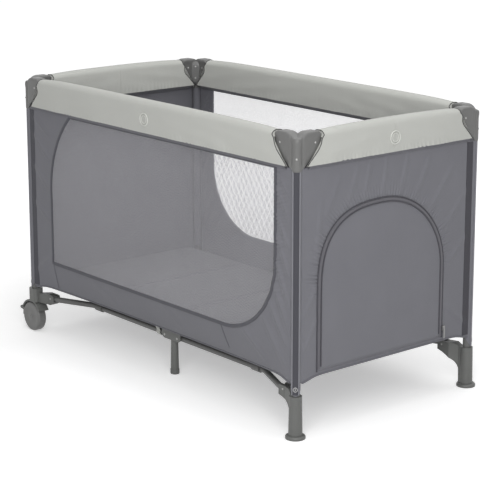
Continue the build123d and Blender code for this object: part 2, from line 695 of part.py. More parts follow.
def long_wall():
    half = POST_X - PANEL_POST_GAP
    upper = block(-half, half, -PANEL_OUT, -PANEL_OUT + PANEL_T, BAND_TOP, PANEL_TOP)
    top = make_face(
        Polyline(
            (-half, -PANEL_OUT),
            (half, -PANEL_OUT),
            (half, -PANEL_OUT + PANEL_T),
            (-half, -PANEL_OUT + PANEL_T),
            close=True,
        )
    )
    outer = hem_arc(0)
    inner = hem_arc(PANEL_T)
    hem = make_face([outer, Line(outer @ 1, inner @ 1), inner, Line(inner @ 0, outer @ 0)])
    band = loft([Pos(0, 0, HEM_Z) * hem, Pos(0, 0, BAND_TOP) * top], ruled=True)
    wall = upper + band - notches(POST_X)
    return wall - upright(window_face(), -PANEL_OUT - 1, PANEL_T + 2)


def net():
    """The window's net: one holed sheet, its gaps in rows and columns inside the window's outline."""
    width = WINDOW_RIGHT - WINDOW_LEFT
    height = WINDOW_HIGH - WINDOW_LOW
    pitch_x = width / NET_COLUMNS
    pitch_z = height / NET_ROWS
    gap = Rectangle(pitch_x - NET_BAR, pitch_z - NET_BAR)
    outline = window_face()
    edge_room = NET_BAR / 2
    gaps = []
    for column in range(NET_COLUMNS):
        for row in range(NET_ROWS):
            x = WINDOW_LEFT + (column + 0.5) * pitch_x
            z = WINDOW_LOW + (row + 0.5) * pitch_z
            corners = [
                (x + sx * (pitch_x / 2 - edge_room), z + sz * (pitch_z / 2 - edge_room))
                for sx in (-1, 1)
                for sz in (-1, 1)
            ]
            if all(outline.is_inside(Vector(cx, cz, 0)) for cx, cz in corners):
                gaps.append(Pos(x, z, 0) * gap)
    holed = outline - gaps
    return upright(holed, -PANEL_OUT + (PANEL_T - NET_T) / 2, NET_T)


# End walls and the zipped door
def shoulder(middle, reach, rise):
    """The arch's left half from its crown down, x and z to the power of DOOR_FULLNESS adding up to one."""
    power = 2 / DOOR_FULLNESS
    turns = [math.pi / 2 * step / SHOULDER_STEPS for step in range(SHOULDER_STEPS)]
    points = [
        (middle - reach * math.sin(turn) ** power, DOOR_SPRING + rise * math.cos(turn) ** power) for turn in turns
    ]
    return Spline(*points, (middle - reach, DOOR_SPRING), tangents=[(-1, 0), (0, -1)])


def door_face(grow):
    """An arch: straight sides, then a wide top with a fuller left shoulder. grow moves its outline outwards."""
    left = DOOR_LEFT - grow
    right = DOOR_RIGHT + grow
    middle = (left + right) / 2
    reach = (right - left) / 2
    rise = DOOR_TOP + grow - DOOR_SPRING
    arch = EllipticalCenterArc((middle, DOOR_SPRING), reach, rise, start_angle=0, arc_size=90)
    low = DOOR_LOW - grow
    return make_face(
        [
            arch,
            shoulder(middle, reach, rise),
            Line((right, DOOR_SPRING), (right, low)),
            Line((right, low), (left, low)),
            Line((left, low), (left, DOOR_SPRING)),
        ]
    )


def end_wall():
    half = POST_Y - END_POST_GAP
    return block(-half, half, -END_OUT, -END_OUT + PANEL_T, HEM_Z, PANEL_TOP) - notches(POST_Y)


def zip_track():
    """The raised zip edge that runs up both sides of the door and over its arch."""
    band = door_face(DOOR_LAP + CLOTH_GAP + TRACK_WIDTH) - door_face(DOOR_LAP + CLOTH_GAP)
    track = upright(band, -END_OUT - TRACK_PROUD, TRACK_PROUD)
    return track - block(-POST_Y, POST_Y, -2 * END_OUT, END_OUT, 0, DOOR_LOW + DOOR_LAP)


def door_wall():
    return end_wall() + zip_track() - upright(door_face(0), -END_OUT - 1, PANEL_T + 2)


def door_flap():
    return upright(door_face(DOOR_LAP), -END_OUT - CLOTH_GAP - FLAP_T, FLAP_T)


def zip_slider():
    """A small slider on the zip track at the door's lower right, with its pull hanging from it."""
    face = -END_OUT - TRACK_PROUD - CLOTH_GAP
    x0 = DOOR_RIGHT + DOOR_LAP + CLOTH_GAP
    low = DOOR_LOW + 10
    body = block(x0, x0 + SLIDER_WIDTH, face - SLIDER_DEPTH, face, low, low + SLIDER_HEIGHT)
    body = fillet(body.edges().filter_by(Axis.Y), 2.5)
    x_mid = x0 + SLIDER_WIDTH / 2
    pull = block(
        x_mid - PULL_WIDTH / 2,
        x_mid + PULL_WIDTH / 2,
        face - SLIDER_DEPTH - PULL_T,
        face - SLIDER_DEPTH,
        DOOR_LOW + 16 - PULL_LENGTH,
        DOOR_LOW + 18,
    )
    return body + fillet(pull.edges().filter_by(Axis.Y), 2.4)


# Floor cloth and mattress
def floor_cloth():
    start = POST_Y - CLOTH_GAP - PANEL_T
    half = POST_X - PANEL_POST_GAP
    front = Pos(0, -POST_Y) * hem_arc(PANEL_T + CLOTH_GAP)
    back = mirror(front, about=Plane.XZ)
    middle = make_face([front, Line(front @ 1, back @ 1), back, Line(back @ 0, front @ 0)])
    end_half = POST_X + END_OUT - PANEL_T - CLOTH_GAP
    ends = Rectangle(2 * end_half, 2 * (POST_Y - 2 * END_POST_GAP))
    cut = Rectangle(2 * half, 2 * start)
    return extrude(Pos(0, 0, HEM_Z) * (middle + (ends - cut)), FLOOR_T)


def mattress():
    low = HEM_Z + FLOOR_T + CLOTH_GAP
    pad = block(-MATTRESS_X / 2, MATTRESS_X / 2, -MATTRESS_Y / 2, MATTRESS_Y / 2, low, low + MATTRESS_T)
    pad = fillet(pad.edges(), MATTRESS_ROUND)
    step = MATTRESS_X / MATTRESS_PANELS
    top = low + MATTRESS_T
    for number in range(1, MATTRESS_PANELS):
        x = -MATTRESS_X / 2 + number * step
        groove = side_plate(
            [(x - CHANNEL_WIDTH / 2, top + 1), (x, top - CHANNEL_DEPTH), (x + CHANNEL_WIDTH / 2, top + 1)],
            -MATTRESS_Y,
            MATTRESS_Y,
        )
        pad -= groove
    return pad


# All nodes
for corner, (sx, sy) in CORNERS.items():
    castor = sx < 0
    save(f"post_{corner}", to_corner(post(CASTOR_POST_LOW if castor else POST_LOW), corner))
    save(f"top_bracket_{corner}", to_corner(top_bracket(), corner), to_corner(inner_shell(), corner))
    rail_pin = pin((RAIL_PIVOT, -WING_HALF, RAIL_Z), (RAIL_PIVOT, WING_HALF, RAIL_Z))
    rivets = [rail_pin, mirror(rail_pin, about=SWAP), spine_rivet(), fork_pin()]
    if castor:
        save(f"castor_bracket_{corner}", to_corner(castor_bracket(), corner))
        save(f"castor_wheel_{corner}", to_corner(wheel(), corner))
        save(f"brake_lever_{corner}", to_corner(brake_lever(), corner))
        rivets += [axle(), lever_pin()]
    else:
        save(f"foot_{corner}", to_corner(fixed_foot(), corner))
    save(f"rivets_{corner}", *[to_corner(r, corner) for r in rivets])
    save(f"long_rail_{corner}", turned_to_corner(rail(LONG), corner, 0, RAIL_Z))
    save(f"short_rail_{corner}", turned_to_corner(rail(SHORT), corner, 90, RAIL_Z))
    save(f"long_rim_{corner}", to_corner(rim_cover(POST_X), corner))
    save(f"short_rim_{corner}", to_corner(mirror(rim_cover(POST_Y), about=SWAP), corner))
    save(f"floor_bar_{corner}", turned_to_corner(floor_bar(), corner, 0, BAR_Z))

for side in ("front", "back", "left", "right"):
    save(f"rail_lock_{side}", to_side(lock_housing(), side), *[to_side(p, side) for p in lock_pins()])
    save(f"lock_button_{side}", to_side(lock_button(), side))

for side in ("front", "back"):
    inward = Pos(0, BAR_INSET, 0)
    save(f"mid_leg_{side}", *[to_side(inward * s, side) for s in [mid_bracket(), leg_cap(), *mid_pins()]])
    save(f"long_wall_{side}", to_side(long_wall(), side))
    save(f"window_net_{side}", to_side(net(), side))

save("end_wall_left", to_side(end_wall(), "left"))
save("end_wall_right", to_side(door_wall(), "right"))
save("door_flap", to_side(door_flap(), "right"))
save("zip_slider", to_side(zip_slider(), "right"))
save("floor_cloth", floor_cloth())
save("mattress", mattress())
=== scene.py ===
import bmesh
import bpy
import numpy as np
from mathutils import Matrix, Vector


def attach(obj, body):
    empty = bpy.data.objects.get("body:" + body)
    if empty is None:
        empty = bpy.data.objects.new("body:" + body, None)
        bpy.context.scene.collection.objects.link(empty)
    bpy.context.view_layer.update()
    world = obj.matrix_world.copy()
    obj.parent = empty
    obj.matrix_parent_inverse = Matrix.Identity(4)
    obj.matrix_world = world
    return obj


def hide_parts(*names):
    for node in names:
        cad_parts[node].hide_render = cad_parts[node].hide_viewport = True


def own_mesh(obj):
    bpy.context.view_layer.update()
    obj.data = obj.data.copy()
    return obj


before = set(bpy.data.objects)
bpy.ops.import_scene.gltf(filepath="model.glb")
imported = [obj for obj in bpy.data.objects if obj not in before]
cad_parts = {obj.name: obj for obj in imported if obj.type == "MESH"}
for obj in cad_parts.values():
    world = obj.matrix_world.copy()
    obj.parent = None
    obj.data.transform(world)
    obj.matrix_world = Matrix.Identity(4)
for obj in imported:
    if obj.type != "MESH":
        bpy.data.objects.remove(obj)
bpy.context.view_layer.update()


# Corner posts and their cloth sleeves. Each post is a painted steel tube inside a sewn sleeve of the wall
# cloth, open in a point at its foot, with a line of piping on either side where the two walls are sewn on.
POST_X = 0.580
POST_Y = 0.305
CORNERS = {"front_left": (-1, -1), "front_right": (1, -1), "back_left": (-1, 1), "back_right": (1, 1)}
SLEEVE_R = 0.0121
SLEEVE_TOP = 0.671
SLEEVE_POINT = 0.034
SLEEVE_FOOT = {-1: 0.133, 1: 0.110}
SLEEVE_LINING = np.array([0.93, 0.93, 1.0])
OUTWARD = 1.25 * np.pi
STRIP_PROUD = 0.0006
STRIP_SUNK = 0.0004
PIPING_R = 0.0016
PIPING_PROUD = 0.0010
PIPING_TURN = np.radians(40)
PIPING_SIDES = 8
PIPING_LIFT = 0.004
PIPING_TOP = 0.668


def tone(colour):
    """A colour of 0 to 255 as the eye sees it, made linear: ((c + 0.055) / 1.055) to the power 2.4."""
    c = np.array(colour) / 255.0
    return (*(((c + 0.055) / 1.055) ** 2.4).tolist(), 1.0)


def at_corner(points, corner):
    """From a corner's own frame, u and v into the pen from the post axis, to the pen's frame."""
    sx, sy = CORNERS[corner]
    u, v, z = np.moveaxis(np.asarray(points, float), -1, 0)
    return np.stack([sx * (POST_X - u), sy * (POST_Y - v), z], -1)


def made(name, points, faces):
    """An object at the origin, its place in its mesh, shaded smooth."""
    mesh = bpy.data.meshes.new(name)
    mesh.from_pydata(np.asarray(points, float).reshape(-1, 3).tolist(), [], faces)
    mesh.polygons.foreach_set("use_smooth", np.ones(len(faces), bool))
    piece = bpy.data.objects.new(name, mesh)
    bpy.context.scene.collection.objects.link(piece)
    return piece


def surface(name, points, round_rows=False, round_columns=False, lids=False):
    """Quads over a grid of points, row by row; round_ joins last to first, lids close the end rows."""
    points = np.asarray(points, float)
    rows, columns = points.shape[:2]
    r = np.arange(rows if round_rows else rows - 1)
    c = np.arange(columns if round_columns else columns - 1)
    r, c = (a.ravel() for a in np.meshgrid(r, c, indexing="ij"))
    r2 = (r + 1) % rows
    c2 = (c + 1) % columns
    cells = [r * columns + c, r * columns + c2, r2 * columns + c2, r2 * columns + c]
    faces = np.stack(cells, 1).tolist()
    if lids:
        faces.append(list(range(columns))[::-1])
        faces.append(list(range((rows - 1) * columns, rows * columns)))
    return made(name, points, faces)


def solid(piece, crisp=38):
    """Merges doubled points, turns every face outwards and keeps edges crisp past an angle in degrees."""
    work = bmesh.new()
    work.from_mesh(piece.data)
    bmesh.ops.remove_doubles(work, verts=work.verts, dist=1e-6)
    bmesh.ops.recalc_face_normals(work, faces=work.faces)
    work.to_mesh(piece.data)
    work.free()
    piece.data.set_sharp_from_angle(angle=np.radians(crisp))
    return piece


def carried(name, path, profile, up, closed=False):
    """A closed profile carried along a path: path + across * side + rise * up, side square to path and up."""
    path = np.asarray(path, float)
    ahead = np.roll(path, -1, 0) - np.roll(path, 1, 0) if closed else np.gradient(path, axis=0)
    ahead = ahead / np.linalg.norm(ahead, axis=1, keepdims=True)
    side = np.cross(ahead, np.asarray(up, float))
    side = side / np.linalg.norm(side, axis=1, keepdims=True)
    rise = np.cross(side, ahead)
    points = path[:, None] + profile[None, :, :1] * side[:, None] + profile[None, :, 1:] * rise[:, None]
    return solid(surface(name, points, round_rows=closed, round_columns=True, lids=not closed))


def full_turn(count):
    """Angles once round a circle, evenly spaced."""
    return np.linspace(0, 2 * np.pi, count, endpoint=False)


def round_profile(radius, sides=PIPING_SIDES):
    """A circle of points."""
    turn = full_turn(sides)
    return np.stack([radius * np.cos(turn), radius * np.sin(turn)], 1)


def joined(name, parts):
    """Several meshes as one piece."""
    work = bmesh.new()
    for part in parts:
        work.from_mesh(part.data)
    mesh = bpy.data.meshes.new(name)
    work.to_mesh(mesh)
    work.free()
    for part in parts:
        bpy.data.objects.remove(part)
    piece = bpy.data.objects.new(name, mesh)
    bpy.context.scene.collection.objects.link(piece)
    return piece


def fit(piece, body, finish, slot, *stands_for):
    """Gives a piece its finish and fixes it to the body that carries it."""
    piece.data.materials.clear()
    piece.data.materials.append(finish)
    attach(piece, body)
    if stands_for:
        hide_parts(*stands_for)
    return piece


def socket_of(group, name, way, kind="NodeSocketFloat", start=None):
    """A named socket on a node group."""
    socket = group.interface.new_socket(name, in_out=way, socket_type=kind)
    if start is not None:
        socket.default_value = start
    return socket


def sums(tree, operation, first, second=None):
    """One arithmetic node; each side is a socket or a number."""
    node = tree.nodes.new("ShaderNodeMath")
    node.operation = operation
    for place, value in ((0, first), (1, second)):
        if isinstance(value, bpy.types.NodeSocket):
            tree.links.new(value, node.inputs[place])
        elif value is not None:
            node.inputs[place].default_value = value
    return node.outputs[0]


def dial(node, values):
    """Sets a node's inputs by their names."""
    for name, value in values.items():
        node.inputs[name].default_value = value


def noise(tree, vector, scale, detail=3.0, roughness=0.55):
    """A noise texture's value at a place."""
    node = tree.nodes.new("ShaderNodeTexNoise")
    dial(node, {"Scale": scale, "Detail": detail, "Roughness": roughness})
    tree.links.new(vector, node.inputs["Vector"])
    return node.outputs["Fac"]


# Woven threads: height = half of 1 + sin(k(x + y)) sin(k(z + x - y)), which crosses on every face of the pen,
# with slubs from fine noise; mottle is the cloth's slow unevenness of dye, crease its soft waviness.
weave = bpy.data.node_groups.new("woven_threads", "ShaderNodeTree")
socket_of(weave, "Vector", "INPUT", "NodeSocketVector")
socket_of(weave, "Threads", "INPUT", start=5000.0)
for output in ("Height", "Slub", "Mottle", "Crease"):
    socket_of(weave, output, "OUTPUT")
weave_in = weave.nodes.new("NodeGroupInput")
weave_out = weave.nodes.new("NodeGroupOutput")
weave_split = weave.nodes.new("ShaderNodeSeparateXYZ")
weave.links.new(weave_in.outputs["Vector"], weave_split.inputs[0])
weave_x, weave_y, weave_z = weave_split.outputs
warp_place = sums(weave, "ADD", weave_x, weave_y)
weft_place = sums(weave, "ADD", weave_z, sums(weave, "SUBTRACT", weave_x, weave_y))
warp = sums(weave, "SINE", sums(weave, "MULTIPLY", warp_place, weave_in.outputs["Threads"]))
weft = sums(weave, "SINE", sums(weave, "MULTIPLY", weft_place, weave_in.outputs["Threads"]))
crossing = sums(weave, "MULTIPLY", warp, weft)
weave.links.new(sums(weave, "MULTIPLY", sums(weave, "ADD", crossing, 1.0), 0.5), weave_out.inputs["Height"])
weave.links.new(noise(weave, weave_in.outputs["Vector"], 420.0, 2.0), weave_out.inputs["Slub"])
weave.links.new(noise(weave, weave_in.outputs["Vector"], 7.0, 4.0), weave_out.inputs["Mottle"])
weave.links.new(noise(weave, weave_in.outputs["Vector"], 16.0, 2.0, 0.4), weave_out.inputs["Crease"])


def new_finish(name, rough, metal=0.0):
    """An empty material with its shader, its Object coordinates and the values that are the same all over."""
    finish = bpy.data.materials.new(name)
    finish.use_nodes = True
    tree = finish.node_tree
    shader = tree.nodes["Principled BSDF"]
    dial(shader, {"Roughness": rough, "Metallic": metal})
    place = tree.nodes.new("ShaderNodeTexCoord")
    return finish, tree, shader, place.outputs["Object"]


def blended(tree, factor, first, second):
    """A colour between two of 0 to 255, by a factor."""
    node = tree.nodes.new("ShaderNodeMix")
    node.data_type = "RGBA"
    tree.links.new(factor, node.inputs["Factor"])
    node.inputs[6].default_value = tone(first)
    node.inputs[7].default_value = tone(second)
    return node.outputs[2]


def bumped(tree, shader, height, strength, distance, onto=None):
    """A bump as deep as that distance in metres, over another bump where one is given."""
    node = tree.nodes.new("ShaderNodeBump")
    dial(node, {"Strength": strength, "Distance": distance})
    tree.links.new(height, node.inputs["Height"])
    if onto is not None:
        tree.links.new(onto, node.inputs["Normal"])
    tree.links.new(node.outputs[0], shader.inputs["Normal"])
    return node.outputs[0]


def cloth_finish(name, light, dark, threads=5000.0, waviness=0.0025, sheen=0.15, rough=0.82):
    """Woven polyester: two near tones mottled, painted shade in the weave's hollows, a weave bump over a soft
    waviness, a little sheen.
    """
    finish, tree, shader, place = new_finish(name, rough)
    dial(shader, {"Sheen Weight": sheen, "Specular IOR Level": 0.25})
    threads_node = tree.nodes.new("ShaderNodeGroup")
    threads_node.node_tree = weave
    dial(threads_node, {"Threads": threads})
    tree.links.new(place, threads_node.inputs["Vector"])
    uneven = sums(tree, "MULTIPLY", threads_node.outputs["Mottle"], 0.55)
    slub = sums(tree, "MULTIPLY", threads_node.outputs["Slub"], 0.25)
    # Painted shade: lighter on the raised threads, darker in the hollows between them.
    thread_shade = sums(tree, "MULTIPLY", threads_node.outputs["Height"], 0.2)
    factor = sums(tree, "ADD", sums(tree, "ADD", uneven, slub), thread_shade)
    tree.links.new(blended(tree, factor, dark, light), shader.inputs["Base Color"])
    soft = bumped(tree, shader, threads_node.outputs["Crease"], 0.6, waviness)
    bumped(tree, shader, threads_node.outputs["Height"], 0.35, 0.0003, soft)
    return finish


wall_cloth = cloth_finish("wall_cloth_grey", (126, 126, 132), (110, 110, 116))
# Dark cloth for the sleeves' outer strips between the pipings; on the strips beside the front left and back
# right posts the same finish is painted shade.
sleeve_and_shade_cloth = cloth_finish("sleeve_cloth_dark_and_painted_shade", (79, 79, 85), (68, 68, 74), waviness=0.0012)
piping_cloth = cloth_finish("piping_cloth", (142, 142, 148), (124, 124, 130), 7000.0, 0.0006)
for corner, (sx, sy) in CORNERS.items():
    turn = full_turn(40)
    low = SLEEVE_FOOT[sx] + SLEEVE_POINT * (1 - np.cos(turn - OUTWARD)) / 2
    up = np.linspace(0, 1, 48)[:, None]
    height = low + (SLEEVE_TOP - low) * up
    pucker = 0.0003 * np.sin(height * 90 + 2 * turn) * np.sin(np.pi * up)
    radius = SLEEVE_R + pucker
    tube = np.stack([radius * np.cos(turn), radius * np.sin(turn), height], -1)
    wall = np.concatenate([tube, (tube * SLEEVE_LINING)[::-1]])
    sleeve = solid(surface(f"post_sleeve_{corner}", at_corner(wall, corner), True, True))
    fit(sleeve, f"corner_{corner}", wall_cloth, "wall_cloth")
    z = np.linspace(SLEEVE_FOOT[sx] + PIPING_LIFT, PIPING_TOP, 60)
    open_turn = np.linspace(OUTWARD - PIPING_TURN, OUTWARD + PIPING_TURN, 12)
    strip_r = np.repeat([SLEEVE_R + STRIP_PROUD, SLEEVE_R - STRIP_SUNK], 12)
    strip_turn = np.concatenate([open_turn, open_turn[::-1]])
    loop = (strip_r * np.cos(strip_turn), strip_r * np.sin(strip_turn), z[:, None])
    band = np.stack(np.broadcast_arrays(*loop), -1)
    strip = solid(surface(f"post_strip_{corner}", at_corner(band, corner), round_columns=True, lids=True))
    fit(strip, f"corner_{corner}", sleeve_and_shade_cloth, "wall_cloth")
    lines = []
    for edge_turn in (OUTWARD - PIPING_TURN, OUTWARD + PIPING_TURN):
        reach = SLEEVE_R + PIPING_PROUD
        path = np.stack(np.broadcast_arrays(reach * np.cos(edge_turn), reach * np.sin(edge_turn), z), -1)
        lines.append(carried("piping", at_corner(path, corner), round_profile(PIPING_R), (1.0, 0.6, 0.0)))
    piping = joined(f"post_piping_{corner}", lines)
    fit(piping, f"corner_{corner}", piping_cloth, "wall_cloth")


# Frame tubes: posts, top rails and floor bars are steel tube with a grey powder coat, slightly orange-peeled
# and scuffed. They keep their own solids.
grain = bpy.data.node_groups.new("moulded_grain", "ShaderNodeTree")
socket_of(grain, "Vector", "INPUT", "NodeSocketVector")
socket_of(grain, "Scale", "INPUT", start=900.0)
for output in ("Height", "Scuff", "Cloud"):
    socket_of(grain, output, "OUTPUT")
grain_in = grain.nodes.new("NodeGroupInput")
grain_out = grain.nodes.new("NodeGroupOutput")
grain_fine = grain.nodes.new("ShaderNodeTexNoise")
dial(grain_fine, {"Detail": 2.0})
grain.links.new(grain_in.outputs["Vector"], grain_fine.inputs["Vector"])
grain.links.new(grain_in.outputs["Scale"], grain_fine.inputs["Scale"])
grain.links.new(grain_fine.outputs["Fac"], grain_out.inputs["Height"])
scuff = sums(grain, "GREATER_THAN", noise(grain, grain_in.outputs["Vector"], 130.0, 6.0, 0.7), 0.64)
grain.links.new(scuff, grain_out.inputs["Scuff"])
grain.links.new(noise(grain, grain_in.outputs["Vector"], 24.0, 3.0), grain_out.inputs["Cloud"])


def hard_finish(name, light, dark, rough, metal=0.0, scale=900.0, depth=0.00012):
    """Moulded plastic or painted steel: clouded tone, fine grain bump, roughness that changes with scuffs."""
    finish, tree, shader, place = new_finish(name, rough, metal)
    skin = tree.nodes.new("ShaderNodeGroup")
    skin.node_tree = grain
    dial(skin, {"Scale": scale})
    tree.links.new(place, skin.inputs["Vector"])
    tree.links.new(blended(tree, skin.outputs["Cloud"], dark, light), shader.inputs["Base Color"])
    worn = sums(tree, "MULTIPLY", skin.outputs["Scuff"], 0.12)
    clouded = sums(tree, "MULTIPLY", skin.outputs["Cloud"], 0.12)
    uneven = sums(tree, "ADD", worn, clouded)
    tree.links.new(sums(tree, "ADD", uneven, rough - 0.06), shader.inputs["Roughness"])
    bumped(tree, shader, skin.outputs["Height"], 0.5, depth)
    return finish


def refinish(finish, *starts):
    """Gives every node whose name starts so a better finish."""
    for name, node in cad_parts.items():
        if name.startswith(starts):
            for place in node.material_slots:
                place.material = finish


tube_paint = hard_finish("tube_paint", (104, 104, 103), (92, 92, 91), 0.46, 0.0, 1400.0, 0.00006)
refinish(tube_paint, "post_", "long_rail_", "short_rail_", "floor_bar_")
steel = hard_finish("rivet_steel", (176, 176, 174), (150, 150, 148), 0.34, 0.7, 500.0, 0.00004)


# Top corner brackets: a moulded plastic heart on each post, a rounded spine between two domed wings that take
# the rails' ends, hollow below, with a three-cornered inner cover held by screws.
bracket_plastic = hard_finish("bracket_plastic", (109, 109, 108), (99, 99, 98), 0.38)
BRACKET_SPINE = 0.0153
BRACKET_WING = 0.0665
BRACKET_WALL = 0.0042
BRACKET_TOP = 0.7500
BRACKET_CROWN = 0.0125
BRACKET_TIP = 0.6685
BRACKET_CLIMB = 0.0560
SHIELD_MIDDLE = 0.7195
SHIELD_HALF = 0.0315
SHIELD_WIDE = 0.0205
SHIELD_DEPTH = 0.0300
SHIELD_DOME = 0.0045
SHIELD_WALL = 0.012
RAIL_PIVOT = 0.045
RAIL_Z = 0.735
BAR_PIVOT = (0.060, 0.022, 0.108)
WING_FACE = 0.0154
FORK_FACE = 0.0123
SPINE_RIVET = (-0.01035, -0.01035, 0.700)
SCREW_IN = 0.0243
SCREW_HEIGHTS = (0.703, 0.738)
SCREW_HEAD = {"radius": 0.0030, "height": 0.0012}
RIVET_HEAD = {"radius": 0.0029, "height": 0.0014}
SPINE_HEAD = {"radius": 0.0028, "height": 0.0013}


def bracket_shell():
    """A hollow arch section carried round the corner: wing, quarter turn about the post, wing.

    Its lower edge climbs from the tip to the wing's end, its upper edge dips at the spine and rounds off.
    """
    bend = np.pi / 4 * BRACKET_SPINE
    reach = BRACKET_WING + bend
    s = np.sort(np.concatenate([np.linspace(-reach, reach, 121), [-bend, bend]]))
    run = np.maximum(np.abs(s) - bend, 0)
    turn = np.clip(s / BRACKET_SPINE, -np.pi / 4, np.pi / 4) + OUTWARD
    centre = np.stack([np.where(s > 0, run, 0), np.where(s < 0, run, 0)], -1)
    out = np.stack([np.cos(turn), np.sin(turn)], -1)
    blunt = np.clip((run - BRACKET_WING + 0.0050) / 0.0052, 0, 0.995)
    tip = np.sqrt(1 - blunt**2)
    rounding = np.clip((run - BRACKET_WING + 0.0160) / 0.0164, 0, 0.99)
    corner_drop = 0.014 * (1 - np.sqrt(1 - rounding**2))
    top = BRACKET_TOP + BRACKET_CROWN * np.sin(np.pi / 2 * np.clip(run / 0.028, 0, 1)) - corner_drop
    climb = np.clip((run - 0.002) / (BRACKET_WING - 0.003), 0, 1)
    low = BRACKET_TIP + BRACKET_CLIMB * (climb + 0.035 * np.sin(2 * np.pi * climb))
    middle = (top + low) / 2
    top = middle + (top - middle) * (0.75 + 0.25 * tip)
    low = middle - (middle - low) * (0.75 + 0.25 * tip)
    groove = 0.0022 * np.exp(-(((run - 0.0055) / 0.0042) ** 2))
    crown = 0.0011 * np.sin(np.pi * np.clip((run - 0.010) / (BRACKET_WING - 0.010), 0, 1))
    half = (BRACKET_SPINE - 0.0007 - groove + crown) * (0.45 + 0.55 * tip)
    flank = np.array([0, 0.06, 0.3, 0.55, 0.74, 0.85, 0.93, 0.98, 1, 1])
    side = np.array([0.93, 1, 1, 0.985, 0.98, 1.05, 1.05, 0.94, 0.76, 0])
    rise = np.concatenate([flank, flank[-2::-1]])
    across = np.concatenate([side, -side[-2::-1]])
    outer_n = half[:, None] * across
    outer_z = low[:, None] + (top - low)[:, None] * rise
    inner_n = np.sign(outer_n) * np.maximum(np.abs(outer_n) - BRACKET_WALL, 0)
    inner_z = np.minimum(outer_z, np.maximum(top - BRACKET_WALL, low)[:, None])
    n = np.concatenate([outer_n, inner_n[:, ::-1]], 1)
    z = np.concatenate([outer_z, inner_z[:, ::-1]], 1)
    plan = centre[:, None] + n[:, :, None] * out[:, None]
    return np.concatenate([plan, z[:, :, None]], 2)


def inner_shield():
    """A domed shield between the wings, narrower towards its blunt lower tip and bulging inwards."""
    a, b = np.meshgrid(np.linspace(-1, 1, 25), np.linspace(-1, 1, 25), indexing="ij")
    along = a * SHIELD_WIDE * (0.62 + 0.38 * np.clip((b + 1) / 1.2, 0, 1))
    bulge = SHIELD_DOME * (1 - a**4) * (1 - b**6)
    depth = SHIELD_DEPTH + bulge
    root = np.sqrt(0.5)
    u = root * (depth + along)
    v = root * (depth - along)
    z = SHIELD_MIDDLE + SHIELD_HALF * b + 0.003 * (1 - a**2) * np.sign(b)
    front = np.stack([u, v, z], -1)
    inset = root * (bulge + SHIELD_WALL)
    back = np.stack([u - inset, v - inset, z], -1)
    return front, back


def around(out, count):
    """Steps of length one round a circle that is square to a direction."""
    out = np.asarray(out, float) / np.linalg.norm(out)
    side = np.cross(out, (0.0, 0.0, 1.0)) if abs(out[2]) < 0.9 else np.array([1.0, 0.0, 0.0])
    side = side / np.linalg.norm(side)
    turn = full_turn(count)[:, None]
    return np.cos(turn) * side + np.sin(turn) * np.cross(side, out)


def dome(name, centre, out, radius, height, rings=6, sides=16):
    """A shallow round head: rings of a circle that close on its top, height falling as 1 - r squared."""
    out = np.asarray(out, float) / np.linalg.norm(out)
    r = np.linspace(1, 0.04, rings)[:, None, None]
    points = np.asarray(centre) + radius * r * around(out, sides) + height * (1 - r**2) * out
    return solid(surface(name, points, round_columns=True, lids=True))


for corner, (sx, sy) in CORNERS.items():
    shell = solid(surface("shell", at_corner(bracket_shell(), corner), round_columns=True, lids=True))
    faces = inner_shield()
    sheets = [surface("face", at_corner(face, corner)) for face in faces]
    edges = [np.concatenate([f[0], f[1:, -1], f[-1, -2::-1], f[-2:0:-1, 0]]) for f in faces]
    sheets.append(surface("rim", at_corner(np.stack(edges), corner), round_columns=True))
    shield = solid(joined("shield", sheets))
    bracket = joined(f"corner_bracket_{corner}", [shell, shield])
    fit(bracket, f"corner_{corner}", bracket_plastic, "grey_plastic", f"top_bracket_{corner}")
    heads = []
    inward = np.array([-sx, -sy, 0.0])
    for height in SCREW_HEIGHTS:
        heads.append(dome("screw", at_corner((SCREW_IN, SCREW_IN, height), corner), inward, **SCREW_HEAD))
    for n in (-1, 1):
        for local, out in (
            ((RAIL_PIVOT, n * WING_FACE, RAIL_Z), (0, -n * sy, 0)),
            ((n * WING_FACE, RAIL_PIVOT, RAIL_Z), (-n * sx, 0, 0)),
            ((BAR_PIVOT[0], BAR_PIVOT[1] + n * FORK_FACE, BAR_PIVOT[2]), (0, -n * sy, 0)),
        ):
            heads.append(dome("rivet", at_corner(local, corner), out, **RIVET_HEAD))
    heads.append(dome("rivet", at_corner(SPINE_RIVET, corner), -inward, **SPINE_HEAD))
    rivets = joined(f"rivet_heads_{corner}", heads)
    fit(rivets, f"corner_{corner}", steel, "rivet_steel", f"rivets_{corner}")


# Rail locks and their push buttons, at the middle of each side under the padded cover: moulded troughs that
# hold the two rail halves in line. They keep their own solids.
lock_plastic = hard_finish("lock_plastic", (98, 98, 97), (86, 86, 85), 0.5)
button_plastic = hard_finish("button_plastic", (150, 150, 148), (138, 138, 136), 0.4)
refinish(lock_plastic, "rail_lock_")
refinish(button_plastic, "lock_button_")


# Padded rail covers: pale cloth over a strip of foam on each rail half, its skirts hanging on both sides, cut
# back in a slant round the bracket's wing, with a plain sewn ring over the release button.
rim_cloth = cloth_finish("rim_cloth_pale", (198, 199, 194), (186, 187, 182), 6000.0, 0.003, 0.2)
# The covers' end edges are a dark binding; its dark tone is partly painted shade of the gap at the bracket's
# wing.
rim_edge_binding_and_shade = cloth_finish("rim_edge_binding_and_shade", (62, 62, 63), (50, 50, 51), 7000.0, 0.0006)
RIM_HALF = 0.0198
RIM_LOW = 0.6805
RIM_TOP = 0.7655
RIM_THICK = 0.0028
RIM_PAD_LOW = 0.7458
RIM_ROUND = 0.0172
RIM_MEET = 0.00015
SKIRT_STEPS = 12
ROUND_STEPS = 7
OUTER_POINTS = 2 * (SKIRT_STEPS + ROUND_STEPS)
COVER_SLIP = {"front_left": 0.0120, "front_right": -0.0040, "back_left": 0.0030, "back_right": 0.0030}
INNER_SLIP = 0.0045
COVER_EDGE_R = 0.0011


